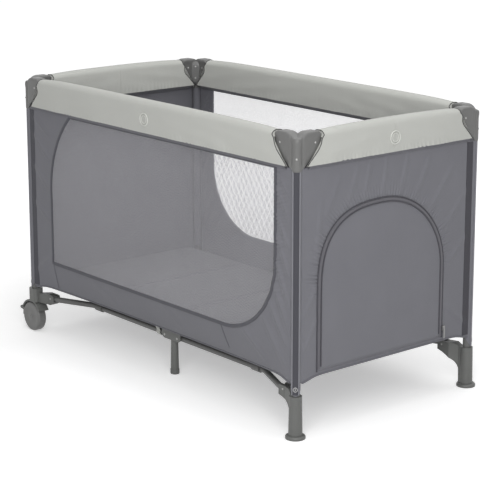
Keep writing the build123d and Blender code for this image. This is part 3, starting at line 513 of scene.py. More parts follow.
def cover_start(z):
    """Where the cover begins along the rail: beside the post at its lower edge, past the wing's end above."""
    heights = [0.660, 0.681, 0.694, 0.708, 0.720, 0.730, 0.745, 0.752, 0.770]
    starts = [0.0190, 0.0195, 0.0310, 0.0450, 0.0565, 0.0610, 0.0625, 0.0690, 0.0690]
    return np.interp(z, heights, starts)


def cover_points(length, phase, slip):
    """The arch section carried along the rail, its skirts a little slack, its top crowned at mid side."""
    skirt = np.linspace(0, 1, SKIRT_STEPS)
    arc = np.linspace(0, np.pi / 2, ROUND_STEPS + 1)[1:]
    shoulder = RIM_TOP - RIM_ROUND
    n = np.concatenate([np.full(SKIRT_STEPS, RIM_HALF), RIM_HALF - RIM_ROUND * (1 - np.cos(arc))])
    z = np.concatenate([RIM_LOW + (shoulder - RIM_LOW) * skirt, shoulder + RIM_ROUND * np.sin(arc)])
    under_pad = np.linspace(0.0165, 0.004, ROUND_STEPS)
    n_in = np.concatenate([np.full(SKIRT_STEPS, RIM_HALF - RIM_THICK), under_pad])
    z_in = np.concatenate([RIM_LOW + (RIM_PAD_LOW - RIM_LOW) * skirt, np.full(ROUND_STEPS, RIM_PAD_LOW)])
    n = np.concatenate([n, -n[::-1], -n_in, n_in[::-1]])
    z = np.concatenate([z, z[::-1], z_in, z_in[::-1]])
    s = np.linspace(0, 1, 170)[:, None]
    below_wing = np.clip((0.745 - z) / 0.020, 0, 1)
    start = (cover_start(z) + np.where(n < 0, INNER_SLIP, slip) * below_wing)[None]
    u = start + (length - RIM_MEET - start) * s
    fall = np.clip((shoulder - z) / (shoulder - RIM_LOW), 0, 1)[None]
    slack = 0.0007 * np.sin(u * 31 + phase) + 0.0004 * np.sin(u * 67 + 2 * phase + 3 * fall)
    taper = np.sin(np.pi * np.clip(s * 1.02, 0, 1)) ** 0.5
    belly = 0.0012 * np.sin(np.pi * fall)
    low_part = np.clip((z - RIM_LOW) / 0.022, 0, 1)[None]
    gather = 0.0008 * np.sin(u * 430 + 2 * np.sin(u * 37 + phase)) * (1 - low_part) * taper
    crease = 0.0007 * np.sin(u * 23 + 9 * fall + phase) * np.sin(np.pi * fall) * taper
    offset = n[None] + np.sign(n)[None] * (belly + slack * taper * (0.3 + fall) + gather + crease)
    lift = 0.0010 - 0.0058 * np.exp(-(u - start) / 0.070)
    hang = 0.0002 * np.sin(u * 19 + phase) * taper
    top_part = np.clip((z - RIM_PAD_LOW) / (RIM_TOP - RIM_PAD_LOW), 0, 1)[None]
    height = z[None] + top_part * lift - fall * hang
    return u, offset, height


ring_thread = cloth_finish("ring_thread", (226, 227, 222), (212, 213, 208), 9000.0, 0.0003)
RING_R = 0.0165
RING_WIRE = 0.0013
RING_Z = 0.717
RING_PROUD = 0.0024
for corner, (sx, sy) in CORNERS.items():
    for kind, length in (("long", POST_X), ("short", POST_Y)):
        u, offset, height = cover_points(length, 1.3 * sx + 2.1 * sy + length, COVER_SLIP[corner])
        local = [u, -offset, height] if kind == "long" else [-offset, u, height]
        across = (0, 1, 0) if kind == "long" else (1, 0, 0)
        points = at_corner(np.stack(local, -1), corner)
        cover = solid(surface(f"{kind}_rail_cover_{corner}", points, round_columns=True, lids=True), 60)
        fit(cover, f"{kind}_rail_{corner}", rim_cloth, "rim_cloth", f"{kind}_rim_{corner}")
        # A dark edge at the cover's end, partly painted shade of the gap at the wing.
        edge_path = points[0, :OUTER_POINTS]
        edge = carried(f"{kind}_cover_edge_{corner}", edge_path, round_profile(COVER_EDGE_R, 6), across)
        fit(edge, f"{kind}_rail_{corner}", rim_edge_binding_and_shade, "rim_cloth")
        for piece in (cover, edge):
            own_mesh(piece)

SIDES = {"front": (0, -1), "back": (0, 1), "left": (-1, 0), "right": (1, 0)}
for side_name, (ox, oy) in SIDES.items():
    out = np.array([ox, oy, 0.0])
    middle = out * (np.array([POST_X, POST_Y, 0.0]) + RIM_HALF + RING_PROUD) + (0.0, 0.0, RING_Z)
    rings = [
        carried("ring", middle + RING_R * size * around(out, 48), round_profile(RING_WIRE * wire), out, True)
        for size, wire in ((1.0, 1.0), (0.62, 0.7))
    ]
    ring = joined(f"press_ring_{side_name}", rings)
    fit(ring, f"rail_lock_{side_name}", ring_thread, "rim_cloth")


# Long walls: grey cloth sewn to the post sleeves, with a leaf-shaped opening bound in dark tape for the net.
# Below the opening the cloth draws in towards the floor, so the hem is curved, and it pulls in folds.
WALL_FACE = 0.314
WALL_END = 0.5715
WALL_TOP = 0.6765
WINDOW = {"left": -0.465, "right": 0.510, "low": 0.234, "high": 0.672}
HEM_Z = 0.152
HEM_DROP = 0.011
HEM_CORNER = HEM_Z - HEM_DROP + 0.0005
HEM_IN = 0.055
HEM_SAG = 0.021
HEM_R = 0.0026
HEM_SHORT = 0.003
DRAWN_FROM = 0.231
WALL_HALF_HEIGHT = (WALL_TOP - HEM_Z) / 2
CLOTH_T = 0.0014


def arc_through(a, b, c, count):
    """Points on the circle through three points, from the first past the second to the third."""
    a, b, c = (np.asarray(p, float) for p in (a, b, c))
    rows = 2 * np.array([b - a, c - a])
    centre = np.linalg.solve(rows, np.array([b @ b - a @ a, c @ c - a @ a]))
    start, through, end = (np.arctan2(*(p - centre)[::-1]) for p in (a, b, c))
    full = 2 * np.pi
    sweep = (end - start) % full
    if (through - start) % full > sweep:
        sweep -= full
    angle = start + sweep * np.linspace(0, 1, count)
    radius = np.linalg.norm(a - centre)
    return centre + radius * np.stack([np.cos(angle), np.sin(angle)], 1)


def dense(corners, step=0.004, closed=True):
    """An outline of straight runs, with points a small step apart."""
    corners = np.asarray(corners, float)
    runs = []
    for a, b in zip(corners, np.roll(corners, -1, 0)):
        count = max(int(np.linalg.norm(b - a) / step), 1)
        runs.append(a + (b - a) * np.linspace(0, 1, count, endpoint=False)[:, None])
    if not closed:
        runs[-1] = corners[-1:]
    return np.concatenate(runs)


def leaf(grow=0.0):
    """The window's outline: square at upper right and lower left, wide arcs at the other two corners."""
    right = WINDOW["right"] + grow
    left = WINDOW["left"] - grow
    high = WINDOW["high"] + grow * 0.3
    low = WINDOW["low"] - grow
    lower = arc_through((right, 0.450), (0.458 + grow * 0.75, 0.300 - grow * 0.75), (0.320, low), 40)
    upper = arc_through((left, 0.422), (-0.440 - grow * 0.85, 0.566 + grow * 0.4), (-0.364, high), 40)
    return dense(np.concatenate([[(right, high)], lower, [(left, low)], upper]))


def between(inner, outer, rows, scale, sharp, rays):
    """A band of cloth between two outlines: rays from the middle meet both, points run evenly along each."""
    middle = (inner.min(0) + inner.max(0)) / 2

    def meets(outline, angles):
        turned = (outline - middle) / scale
        angle = np.arctan2(turned[:, 1], turned[:, 0])
        order = np.argsort(angle)
        looped = np.concatenate([angle[order] - 2 * np.pi, angle[order], angle[order] + 2 * np.pi])
        return np.stack([np.interp(angles, looped, np.tile(outline[order, k], 3)) for k in (0, 1)], -1)

    extra = (np.asarray(sharp, float) - middle) / scale
    even = np.linspace(-np.pi, np.pi, rays, endpoint=False)
    angles = np.sort(np.concatenate([even, np.arctan2(extra[:, 1], extra[:, 0])]))
    start = meets(inner, angles)
    end = meets(outer, angles)
    share = np.linspace(0, 1, rows)[:, None, None]
    return start + (end - start) * share


def ridges(x, z, folds):
    """Soft pulled folds: each is a line with a rounded ridge across it that dies away at both ends."""
    total = np.zeros_like(x)
    for x0, z0, x1, z1, width, height in folds:
        dx, dz = x1 - x0, z1 - z0
        reach = np.hypot(dx, dz)
        along = ((x - x0) * dx + (z - z0) * dz) / reach**2
        off = ((x - x0) * dz - (z - z0) * dx) / reach
        fade = np.clip(np.sin(np.pi * np.clip(along, 0, 1)), 0, 1) ** 0.6
        total += height * np.exp(-((off / width) ** 2)) * fade
    return total


def gathers(along, away, reach, height, pitch):
    """Short puckers square to a sewn edge: a wave along the edge, uneven in depth, that dies away from it."""
    uneven = 0.6 + 0.4 * np.sin(along / pitch * 1.7 + 3 * np.sin(along / pitch * 0.31))
    return height * uneven * np.sin(2 * np.pi * along / pitch) * np.exp(-((away / reach) ** 2))


def hem_height(away_from_post, sag=0.0):
    """The hem hangs lower in its last few centimetres, at the sleeve's point, and may sag in between."""
    droop = sag * np.sin(np.pi * np.clip(away_from_post / (2 * WALL_END), 0, 1))
    return HEM_Z - HEM_DROP * np.exp(-((away_from_post / 0.035) ** 2)) - droop


def wall_outwards(x, z):
    """The long wall's face: upright above, drawn in below along a curve that is deepest at mid length."""
    inward = HEM_IN * (1 - (x / WALL_END) ** 2)
    hem = hem_height(WALL_END - np.abs(x), HEM_SAG)
    fall = np.clip((DRAWN_FROM - z) / (DRAWN_FROM - hem), 0, 1)
    return WALL_FACE - inward * fall * (0.82 + 0.18 * fall)


def turned_out(piece, direction):
    """Turns an open sheet's faces to the side that shows."""
    normals = np.empty(3 * len(piece.data.polygons))
    piece.data.polygons.foreach_get("normal", normals)
    if (normals.reshape(-1, 3) @ np.asarray(direction, float)).sum() < 0:
        piece.data.flip_normals()
    return piece


def thickened(piece, thick=CLOTH_T):
    """Gives a sheet its thickness, inwards."""
    skin = piece.modifiers.new("cloth_thickness", "SOLIDIFY")
    skin.thickness = thick
    skin.offset = -1.0
    return piece


# Each fold is given by its two ends along the wall and up it, then its width and its height.
wall_folds = [
    (0.518, 0.660, 0.566, 0.600, 0.0040, 0.0026),
    (0.516, 0.625, 0.567, 0.540, 0.0050, 0.0030),
    (0.516, 0.560, 0.568, 0.470, 0.0055, 0.0036),
    (0.514, 0.510, 0.568, 0.400, 0.0060, 0.0034),
    (0.512, 0.450, 0.567, 0.325, 0.0060, 0.0040),
    (0.504, 0.390, 0.567, 0.260, 0.0070, 0.0042),
    (0.484, 0.340, 0.566, 0.215, 0.0070, 0.0044),
    (0.455, 0.300, 0.555, 0.170, 0.0080, 0.0040),
    (0.380, 0.250, 0.470, 0.165, 0.0090, 0.0034),
    (-0.470, 0.600, -0.560, 0.655, 0.0070, 0.0032),
    (-0.472, 0.530, -0.566, 0.610, 0.0070, 0.0032),
    (-0.472, 0.440, -0.566, 0.520, 0.0080, 0.0036),
    (-0.470, 0.350, -0.566, 0.410, 0.0090, 0.0034),
    (-0.470, 0.250, -0.560, 0.190, 0.0090, 0.0038),
    (-0.300, 0.230, -0.200, 0.160, 0.0120, 0.0024),
    (0.040, 0.232, 0.100, 0.158, 0.0120, 0.0022),
]
tape_cloth = cloth_finish("tape_cloth", (112, 112, 118), (98, 98, 104), 6000.0, 0.0006)
binding_cloth = cloth_finish("binding_dark", (92, 92, 98), (78, 78, 84), 7000.0, 0.0006)
net_yarn = hard_finish("net_yarn", (200, 199, 204), (186, 185, 190), 0.7, 0.0, 3000.0, 0.00003)
BINDING_HALF = 0.0048
BINDING_T = 0.0024
NET_PITCH = 0.0040
NET_YARN = 0.00044
NET_SLANT = np.radians(58)
NET_DEPTH = 0.0008
TAPE_LOW = 0.6705
INNER_TAPE_LOW = 0.6655
TAPE_OUT = 0.0188
INNER_TAPE_IN = -0.0186
TAPE_END = 0.553
BAND_SEAMS = ((-0.4672, 0.154, 0.232), (0.300, 0.160, 0.232))
SEAM_HALF = 0.0022
SEAM_T = 0.0014
PUCKER_FROM = 0.514
PUCKER_LOW = 0.300
PUCKER_HIGH = 0.668
# The strips beside the front left and back right posts are painted shade: dark sheets where the walls turn
# into the recess at the post.
SHADE_STRIP_LOW = 0.1475
SHADE_STRIP_TOP = 0.6690
SHADE_STRIP_PROUD = 0.0011
SHADE_STRIP_SUNK = 0.0004
LONG_SHADE_STRIP = (-0.5705, -0.5500)
LONG_TAPE_STARTS = (0.0096, 0.0050)


def on_long_wall(x, z, proud=0.0):
    """A point on the front long wall's face, a little proud of it."""
    beside = np.clip(x - PUCKER_FROM, 0, 1)
    upright = np.clip((z - PUCKER_LOW) / 0.060, 0, 1) * np.clip((PUCKER_HIGH - z) / 0.020, 0, 1)
    upright = upright * (x > PUCKER_FROM - 0.002)
    pucker = upright * gathers(z - 0.3 * beside, beside, reach=0.034, height=0.0013, pitch=0.0100)
    return np.stack([x, -(wall_outwards(x, z) + ridges(x, z, wall_folds) + pucker + proud), z], -1)


def flat_profile(half, thick):
    """A tape's section: flat below, rounded above."""
    turn = np.linspace(0, np.pi, 9)
    return np.stack([half * np.cos(turn), thick * np.sin(turn) ** 0.6], 1)


def tape_section(start, end, low):
    """The doubled tape that joins a wall to the rim's lower edge, leaning across in two rolls."""
    t = np.linspace(0, 1, 17)
    lean = np.sign(end - start)
    n = start + (end - start) * t**0.9 + lean * 0.0011 * np.abs(np.sin(2 * np.pi * t))
    z = low + (RIM_LOW + 0.0014 - low) * t
    return np.concatenate([n, (n - lean * 0.0013)[::-1]]), np.concatenate([z, z[::-1] + 0.0002])


def top_tapes(along, starts, place):
    """The tapes at a wall's top, outside and inside: a section carried along, which a rule puts in place."""
    tapes = []
    for start, end, low in zip(starts, (TAPE_OUT, INNER_TAPE_IN), (TAPE_LOW, INNER_TAPE_LOW)):
        n, z = tape_section(start, end, low)
        points = np.stack(np.broadcast_arrays(*place(along[:, None], n, z)), -1)
        tapes.append(solid(surface("tape", points, round_columns=True, lids=True)))
    return tapes


def chords(outline, slant, pitch):
    """Where evenly spaced slanting lines enter and leave a convex outline."""
    along = np.array([np.cos(slant), np.sin(slant)])
    square = np.array([-along[1], along[0]])
    offset, travel = outline @ square, outline @ along
    first, last = offset.argmin(), offset.argmax()
    rolled = np.roll(np.arange(len(outline)), -first)
    turn = int((last - first) % len(outline))
    one, two = rolled[: turn + 1], np.concatenate([rolled[turn:], rolled[:1]])[::-1]
    lines = np.arange(offset.min() + pitch, offset.max() - pitch / 2, pitch)
    ends = [np.interp(lines, offset[chain], travel[chain]) for chain in (one, two)]
    return [lines[:, None] * square + end[:, None] * along for end in ends], square


def strands(name, outline, depth):
    """A net of crossed yarns: square rods from edge to edge of the outline, in two slanting layers."""
    points = []
    for layer, slant in ((1, NET_SLANT), (-1, np.pi - NET_SLANT)):
        (start, end), square = chords(outline, slant, NET_PITCH)
        half = NET_YARN / 2
        y = depth + layer * half * 0.9
        yarn_corners = ((-half, -half), (half, -half), (half, half), (-half, half))
        rods = [
            np.stack([(p + a * square)[:, 0], np.full(len(p), y + b), (p + a * square)[:, 1]], -1)
            for p in (start, end)
            for a, b in yarn_corners
        ]
        points.append(np.stack(rods, 1))
    points = np.concatenate(points)
    base = 8 * np.arange(len(points))[:, None, None]
    box = np.array([[0, 1, 5, 4], [1, 2, 6, 5], [2, 3, 7, 6], [3, 0, 4, 7], [3, 2, 1, 0], [4, 5, 6, 7]])
    net = made(name, points, (base + box).reshape(-1, 4).tolist())
    return solid(net, 30)


def half_turned(piece):
    """The back wall's piece is the front one's turned half round the pen's middle."""
    co = np.empty(3 * len(piece.data.vertices))
    piece.data.vertices.foreach_get("co", co)
    co = co.reshape(-1, 3) * np.array([-1.0, -1.0, 1.0])
    piece.data.vertices.foreach_set("co", co.ravel())
    piece.data.update()
    return piece


def painted_shade_strip(name, near, far, on_wall):
    """A dark strip over a wall's end where the two cloths of the pen meet at a post: painted shade of the
    recess there.
    """
    z, across = np.meshgrid(np.linspace(SHADE_STRIP_LOW, SHADE_STRIP_TOP, 70), np.linspace(near, far, 6), indexing="ij")
    front = on_wall(across, z, SHADE_STRIP_PROUD)
    back = on_wall(across, z, -SHADE_STRIP_SUNK)
    loop = np.concatenate([front, back[:, ::-1]], 1)
    return solid(surface(name, loop, round_columns=True, lids=True))


def wall_outline(end, count, sag=0.0):
    """A wall's outline, its hem hanging lower at the posts, and the four corners that rays have to meet."""
    across = np.linspace(-end, end, count)
    hem = np.stack([across, hem_height(end - np.abs(across), sag)], 1)
    corners = [(end, HEM_CORNER), (end, WALL_TOP), (-end, WALL_TOP), (-end, HEM_CORNER)]
    return np.concatenate([hem, dense(corners, closed=False)]), corners


def long_wall_pieces(side_name):
    """Cloth, net and sewn lines of one long wall, drawn on the front."""
    outward = (0, -1, 0)
    outer, sharp = wall_outline(WALL_END, 200, HEM_SAG)
    sharp += [(WINDOW["right"], WINDOW["high"]), (WINDOW["left"], WINDOW["low"])]
    flat = between(leaf(), outer, 20, np.array([WALL_END, WALL_HALF_HEIGHT]), sharp, 900)
    cloth_points = on_long_wall(flat[..., 0], flat[..., 1])
    cloth = turned_out(surface(f"long_wall_cloth_{side_name}", cloth_points, round_columns=True), outward)
    net = strands(f"window_netting_{side_name}", leaf(0.001), NET_DEPTH - WALL_FACE)
    loop = leaf(0.003)
    tape_path = on_long_wall(loop[:, 0], loop[:, 1], 0.0002)
    tape = flat_profile(BINDING_HALF, BINDING_T)
    taped = carried(f"window_binding_{side_name}", tape_path, tape, outward, True)
    x = np.linspace(-1, 1, 220) * (WALL_END - HEM_SHORT)
    hem_path = on_long_wall(x, hem_height(WALL_END - np.abs(x), HEM_SAG))
    lines = [carried("hem", hem_path, round_profile(HEM_R), outward)]
    for seam_x, low, high in BAND_SEAMS:
        z = np.linspace(low, high, 24)
        path = on_long_wall(np.full_like(z, seam_x), z, 0.0003)
        lines.append(carried("seam", path, flat_profile(SEAM_HALF, SEAM_T), outward))
    hems = joined(f"wall_hems_{side_name}", lines)
    # Painted shade: a dark strip at the wall's end, beside the post.
    shade_strip = painted_shade_strip(f"wall_shade_strip_{side_name}", *LONG_SHADE_STRIP, on_long_wall)
    x = np.linspace(-TAPE_END, TAPE_END, 170)
    tapes = top_tapes(x, LONG_TAPE_STARTS, lambda x, n, z: (x, -(POST_Y + n), z))
    top_tape = joined(f"wall_top_tape_{side_name}", tapes)
    return cloth, net, taped, hems, top_tape, shade_strip


for side_name in ("front", "back"):
    body = f"corner_{side_name}_left"
    pieces = long_wall_pieces(side_name)
    cloth, net, taped, hems, top_tape, shade_strip = pieces
    if side_name == "back":
        for piece in pieces:
            half_turned(piece)
    fit(cloth, body, wall_cloth, "wall_cloth", f"long_wall_{side_name}")
    fit(net, body, net_yarn, "net", f"window_net_{side_name}")
    fit(taped, body, binding_cloth, "wall_cloth")
    fit(hems, body, tape_cloth, "wall_cloth")
    fit(top_tape, body, tape_cloth, "wall_cloth")
    fit(shade_strip, body, sleeve_and_shade_cloth, "wall_cloth")
    thickened(cloth)
    for piece in pieces:
        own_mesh(piece)


# End walls: plain grey cloth between two posts. The one at the feet has an arched crawl door, whose edge is
# piped on both sides of a coil zip; the cloth puckers above the arch.
END_FACE = 0.5895
END_EDGE = 0.2965
END_TAPE = 0.278
END_TAPE_STARTS = (0.0100, 0.0055)
# Across the end walls, the span of their strips of painted shade beside the posts.
END_SHADE_STRIP = (0.2955, 0.2740)
DOOR = {"left": -0.238, "right": 0.186, "low": 0.168, "spring": 0.358, "top": 0.560}
FULL_LEFT = 2.7
FULL_RIGHT = 2.0
GATHERS_LOW = 0.330
end_folds = [
    (-0.250, 0.440, -0.232, 0.600, 0.0070, 0.0026),
    (-0.225, 0.530, -0.170, 0.650, 0.0075, 0.0030),
    (-0.150, 0.555, -0.110, 0.665, 0.0065, 0.0030),
    (-0.095, 0.566, -0.070, 0.668, 0.0060, 0.0026),
    (-0.030, 0.570, -0.015, 0.668, 0.0060, 0.0028),
    (0.030, 0.566, 0.060, 0.668, 0.0060, 0.0028),
    (0.085, 0.550, 0.140, 0.655, 0.0070, 0.0030),
    (0.135, 0.505, 0.230, 0.625, 0.0080, 0.0034),
    (0.180, 0.440, 0.280, 0.550, 0.0080, 0.0028),
    (0.196, 0.340, 0.285, 0.430, 0.0080, 0.0024),
    (0.196, 0.250, 0.288, 0.180, 0.0080, 0.0032),
    (-0.246, 0.300, -0.290, 0.210, 0.0060, 0.0026),
    (-0.246, 0.380, -0.290, 0.300, 0.0060, 0.0024),
]
plain_folds = [
    (-0.200, 0.180, -0.120, 0.660, 0.030, 0.0016),
    (0.060, 0.180, 0.020, 0.660, 0.040, 0.0018),
    (0.220, 0.200, 0.280, 0.500, 0.016, 0.0022),
    (-0.280, 0.200, -0.230, 0.420, 0.016, 0.0020),
]


def arch(grow, closed=True, step=0.004):
    """The door's outline: straight sides, then a top whose left shoulder is fuller; grow moves it outwards.

    On each half of the top, across and up to the power of that half's fullness add up to one.
    """
    left, right = DOOR["left"] - grow, DOOR["right"] + grow
    low = DOOR["low"] - grow
    middle, reach = (left + right) / 2, (right - left) / 2
    turn = np.linspace(np.pi, 0, 110)
    power = np.where(turn > np.pi / 2, 2 / FULL_LEFT, 2 / FULL_RIGHT)
    across = np.sign(np.cos(turn)) * np.abs(np.cos(turn)) ** power
    rise = DOOR["top"] + grow - DOOR["spring"]
    oval = np.stack([middle + reach * across, DOOR["spring"] + rise * np.abs(np.sin(turn)) ** power], 1)
    side_z = np.arange(low, DOOR["spring"], step)[:, None]
    up = np.concatenate([np.full_like(side_z, left), side_z], 1)
    down = np.concatenate([np.full_like(side_z, right), side_z[::-1]], 1)
    path = np.concatenate([up, oval, down])
    return dense(path) if closed else path


def on_end(sx, y, z, proud=0.0, folds=()):
    """A point on an end wall's face, outwards along X."""
    return np.stack([sx * (END_FACE + ridges(y, z, folds) + proud), y, z], -1)


def on_door_end(y, z, proud=0.0):
    """A point on the wall with the door."""
    return on_end(1, y, z, proud, end_folds)


def on_plain_end(y, z, proud=0.0):
    """A point on the plain end wall."""
    return on_end(-1, y, z, proud, plain_folds)


def end_trim(side_name, sx):
    """Top tape inside and out, and the piped hem."""
    y = np.linspace(-END_TAPE, END_TAPE, 90)
    parts = top_tapes(y, END_TAPE_STARTS, lambda y, n, z: (sx * (POST_X + n), y, z))
    y = np.linspace(-1, 1, 120) * (END_EDGE - HEM_SHORT)
    path = on_end(sx, y, hem_height(END_EDGE - np.abs(y)))
    parts.append(carried("hem", path, round_profile(HEM_R), (sx, 0, 0)))
    return joined(f"end_trim_{side_name}", parts)


def end_fold(piece):
    """Gives a piece that goes with the end walls a mesh of its own. The end walls fold up between their posts
    as the frame closes.
    """
    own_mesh(piece)


outer, sharp = wall_outline(END_EDGE, 120)
sharp += [(DOOR["left"], DOOR["low"]), (DOOR["right"], DOOR["low"])]
flat = between(arch(0.0), outer, 26, np.array([END_EDGE, WALL_HALF_HEIGHT]), sharp, 800)
step = np.linalg.norm(np.diff(flat[0], axis=0, prepend=flat[0, :1]), axis=1)
along = np.broadcast_to(np.cumsum(step), flat.shape[:2])
away = np.linalg.norm(flat - flat[:1], axis=2)
curved = np.clip((flat[:1, :, 1] - GATHERS_LOW) / 0.060, 0, 1)
clear = np.clip(away - 0.010, 0, 1)
pucker = curved * gathers(along, clear, reach=0.024, height=0.0018, pitch=0.0085)
wall_points = on_door_end(flat[..., 0], flat[..., 1], pucker)
door_wall = surface("end_wall_cloth_right", wall_points, round_columns=True)
thickened(turned_out(door_wall, (1, 0, 0)))
fit(door_wall, "corner_front_right", wall_cloth, "wall_cloth", "end_wall_right")
right_trim = fit(end_trim("right", 1), "corner_front_right", tape_cloth, "wall_cloth")

share_y, share_z = np.meshgrid(np.linspace(-1, 1, 60), np.linspace(0, 1, 60), indexing="ij")
y = END_EDGE * share_y
z = hem_height(END_EDGE - np.abs(y))
z = z + (WALL_TOP - z) * share_z
plain_wall = surface("end_wall_cloth_left", on_plain_end(y, z))
thickened(turned_out(plain_wall, (-1, 0, 0)))
fit(plain_wall, "corner_front_left", wall_cloth, "wall_cloth", "end_wall_left")
left_trim = fit(end_trim("left", -1), "corner_front_left", tape_cloth, "wall_cloth")

zip_coil = hard_finish("zip_coil", (100, 99, 105), (86, 85, 91), 0.5, 0.0, 2500.0, 0.0001)
# The door pipings' dark tone is painted shade: it stands for the shadow lines along both sides of the zip.
door_cord_and_shade = cloth_finish("door_cord_and_shade", (80, 79, 85), (68, 67, 73), 7000.0, 0.0005)
# Painted shade: a darker cloth for the strip beside the back right post.
painted_shade_cloth = cloth_finish("painted_shade_cloth", (74, 73, 79), (62, 61, 67))
DOOR_CORD_R = 0.0018
OUTER_CORD_GROW = 0.0078
OUTER_CORD_PROUD = 0.0014
outer_path = arch(OUTER_CORD_GROW, False)
outer_cord = on_door_end(outer_path[:, 0], outer_path[:, 1], OUTER_CORD_PROUD)
outer_piping = carried("door_piping_outer", outer_cord, round_profile(DOOR_CORD_R), (1, 0, 0))
fit(outer_piping, "corner_front_right", door_cord_and_shade, "wall_cloth")
# Strips of painted shade where the end walls turn into the recess at the back right and front left posts.
near, far = END_SHADE_STRIP
right_shade_strip = painted_shade_strip("end_shade_strip_right", near, far, on_door_end)
fit(right_shade_strip, "corner_front_right", painted_shade_cloth, "wall_cloth")
left_shade_strip = painted_shade_strip("end_shade_strip_left", -near, -far, on_plain_end)
fit(left_shade_strip, "corner_front_left", sleeve_and_shade_cloth, "wall_cloth")
for piece in (door_wall, right_trim, outer_piping, right_shade_strip, plain_wall, left_trim, left_shade_strip):
    end_fold(piece)


# Crawl door: one arched panel of the same cloth, sewn to the wall along its lower edge and zipped round the
# rest, with a piped edge, the zip's coil and a small metal slider with a pull.
FLAP_FACE = 0.5916
FLAP_LAP = 0.0055
FLAP_T = 0.0012
INNER_CORD_GROW = -0.0040
INNER_CORD_PROUD = 0.0010
ZIP_GROW = 0.0018
ZIP_PROUD = 0.0004
ZIP_HALF = 0.0034
ZIP_T = 0.0009
low = DOOR["low"] - FLAP_LAP
spring = DOOR["spring"]
top = DOOR["top"] + FLAP_LAP
straight = low + (spring - low) * np.linspace(0, 1, 22)
oval_turn = np.linspace(0, np.pi / 2 - 0.012, 26)[1:]
row_z = np.concatenate([straight, spring + (top - spring) * np.sin(oval_turn)])
share = np.concatenate([np.zeros(22), np.sin(oval_turn)])[:, None]
across = np.linspace(-1, 1, 44)
full = np.where(across < 0, FULL_LEFT, FULL_RIGHT)
row_half = (1 - share**full) ** (1 / full) * ((DOOR["right"] - DOOR["left"]) / 2 + FLAP_LAP)
y = (DOOR["left"] + DOOR["right"]) / 2 + row_half * across
z = np.repeat(row_z[:, None], 44, 1)
flap_folds = [
    (-0.200, 0.200, -0.160, 0.480, 0.018, 0.0014),
    (0.110, 0.200, 0.150, 0.420, 0.016, 0.0015),
    (-0.060, 0.180, -0.020, 0.540, 0.030, 0.0012),
]
belly = 0.0010 * np.cos(np.pi / 2 * across) * np.sin(np.pi * (z - low) / (top - low))
flap_points = np.stack([FLAP_FACE + belly + ridges(y, z, flap_folds), y, z], -1)
flap = thickened(turned_out(surface("door_panel", flap_points), (1, 0, 0)), FLAP_T)
fit(flap, "door_flap", wall_cloth, "wall_cloth", "door_flap")


def round_flap(name, grow, proud, profile):
    """A line sewn on the flap along the door's outline."""
    path = arch(grow, False)
    points = np.stack([np.full(len(path), FLAP_FACE + proud), path[:, 0], path[:, 1]], -1)
    return carried(name, points, profile, (1, 0, 0))


inner_cord = round_profile(DOOR_CORD_R)
inner_piping = round_flap("door_piping_inner", INNER_CORD_GROW, INNER_CORD_PROUD, inner_cord)
fit(inner_piping, "door_flap", door_cord_and_shade, "wall_cloth")
coil = round_flap("door_zip", ZIP_GROW, ZIP_PROUD, flat_profile(ZIP_HALF, ZIP_T))
fit(coil, "door_flap", zip_coil, "zip_metal")
for piece in (flap, inner_piping, coil):
    end_fold(piece)
zip_metal = hard_finish("zip_metal", (150, 150, 150), (124, 124, 124), 0.34, 0.6, 600.0, 0.00005)
refinish(zip_metal, "zip_slider")
end_fold(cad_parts["zip_slider"])


# Floor cloth: the pen's own floor, four quarters carried up by the folding floor bars, and a strip at each
# end that is sewn to the end wall and stays with it.
floor_finish = cloth_finish("floor_cloth_dark", (96, 96, 102), (84, 84, 90))
FLOOR_Z = 0.1526
QUARTER_END = 0.5245
STRIP_START = 0.5215
STRIP_END = 0.5867
STRIP_HALF = 0.2860
STRIP_SUNK_Z = FLOOR_Z - 0.0018
FLOOR_T = 0.0012
FLOOR_CLEAR = 0.0035
BAR_Y = 0.2330
for corner, (sx, sy) in CORNERS.items():
    a, b = np.meshgrid(np.linspace(0, 1, 40), np.linspace(0, 1, 20), indexing="ij")
    x = QUARTER_END * a
    y = (wall_outwards(x, FLOOR_Z) - FLOOR_CLEAR) * b
    z = FLOOR_Z - 0.0006 * np.sin(np.pi * a) * np.sin(np.pi * b)
    quarter = surface(f"floor_quarter_{corner}", np.stack([sx * x, sy * y, z], -1))
    thickened(turned_out(quarter, (0, 0, 1)), FLOOR_T)
    fit(quarter, f"floor_bar_{corner}", floor_finish, "wall_cloth", "floor_cloth")
    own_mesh(quarter)
for side_name, sx in (("right", 1), ("left", -1)):
    along = np.linspace(STRIP_START, STRIP_END, 8)
    x, y = np.meshgrid(along, np.linspace(-STRIP_HALF, STRIP_HALF, 40), indexing="ij")
    strip = surface(f"floor_end_{side_name}", np.stack([sx * x, y, np.full_like(x, STRIP_SUNK_Z)], -1))
    thickened(turned_out(strip, (0, 0, 1)), FLOOR_T)
    fit(strip, f"corner_front_{side_name}", floor_finish, "wall_cloth")
    end_fold(strip)


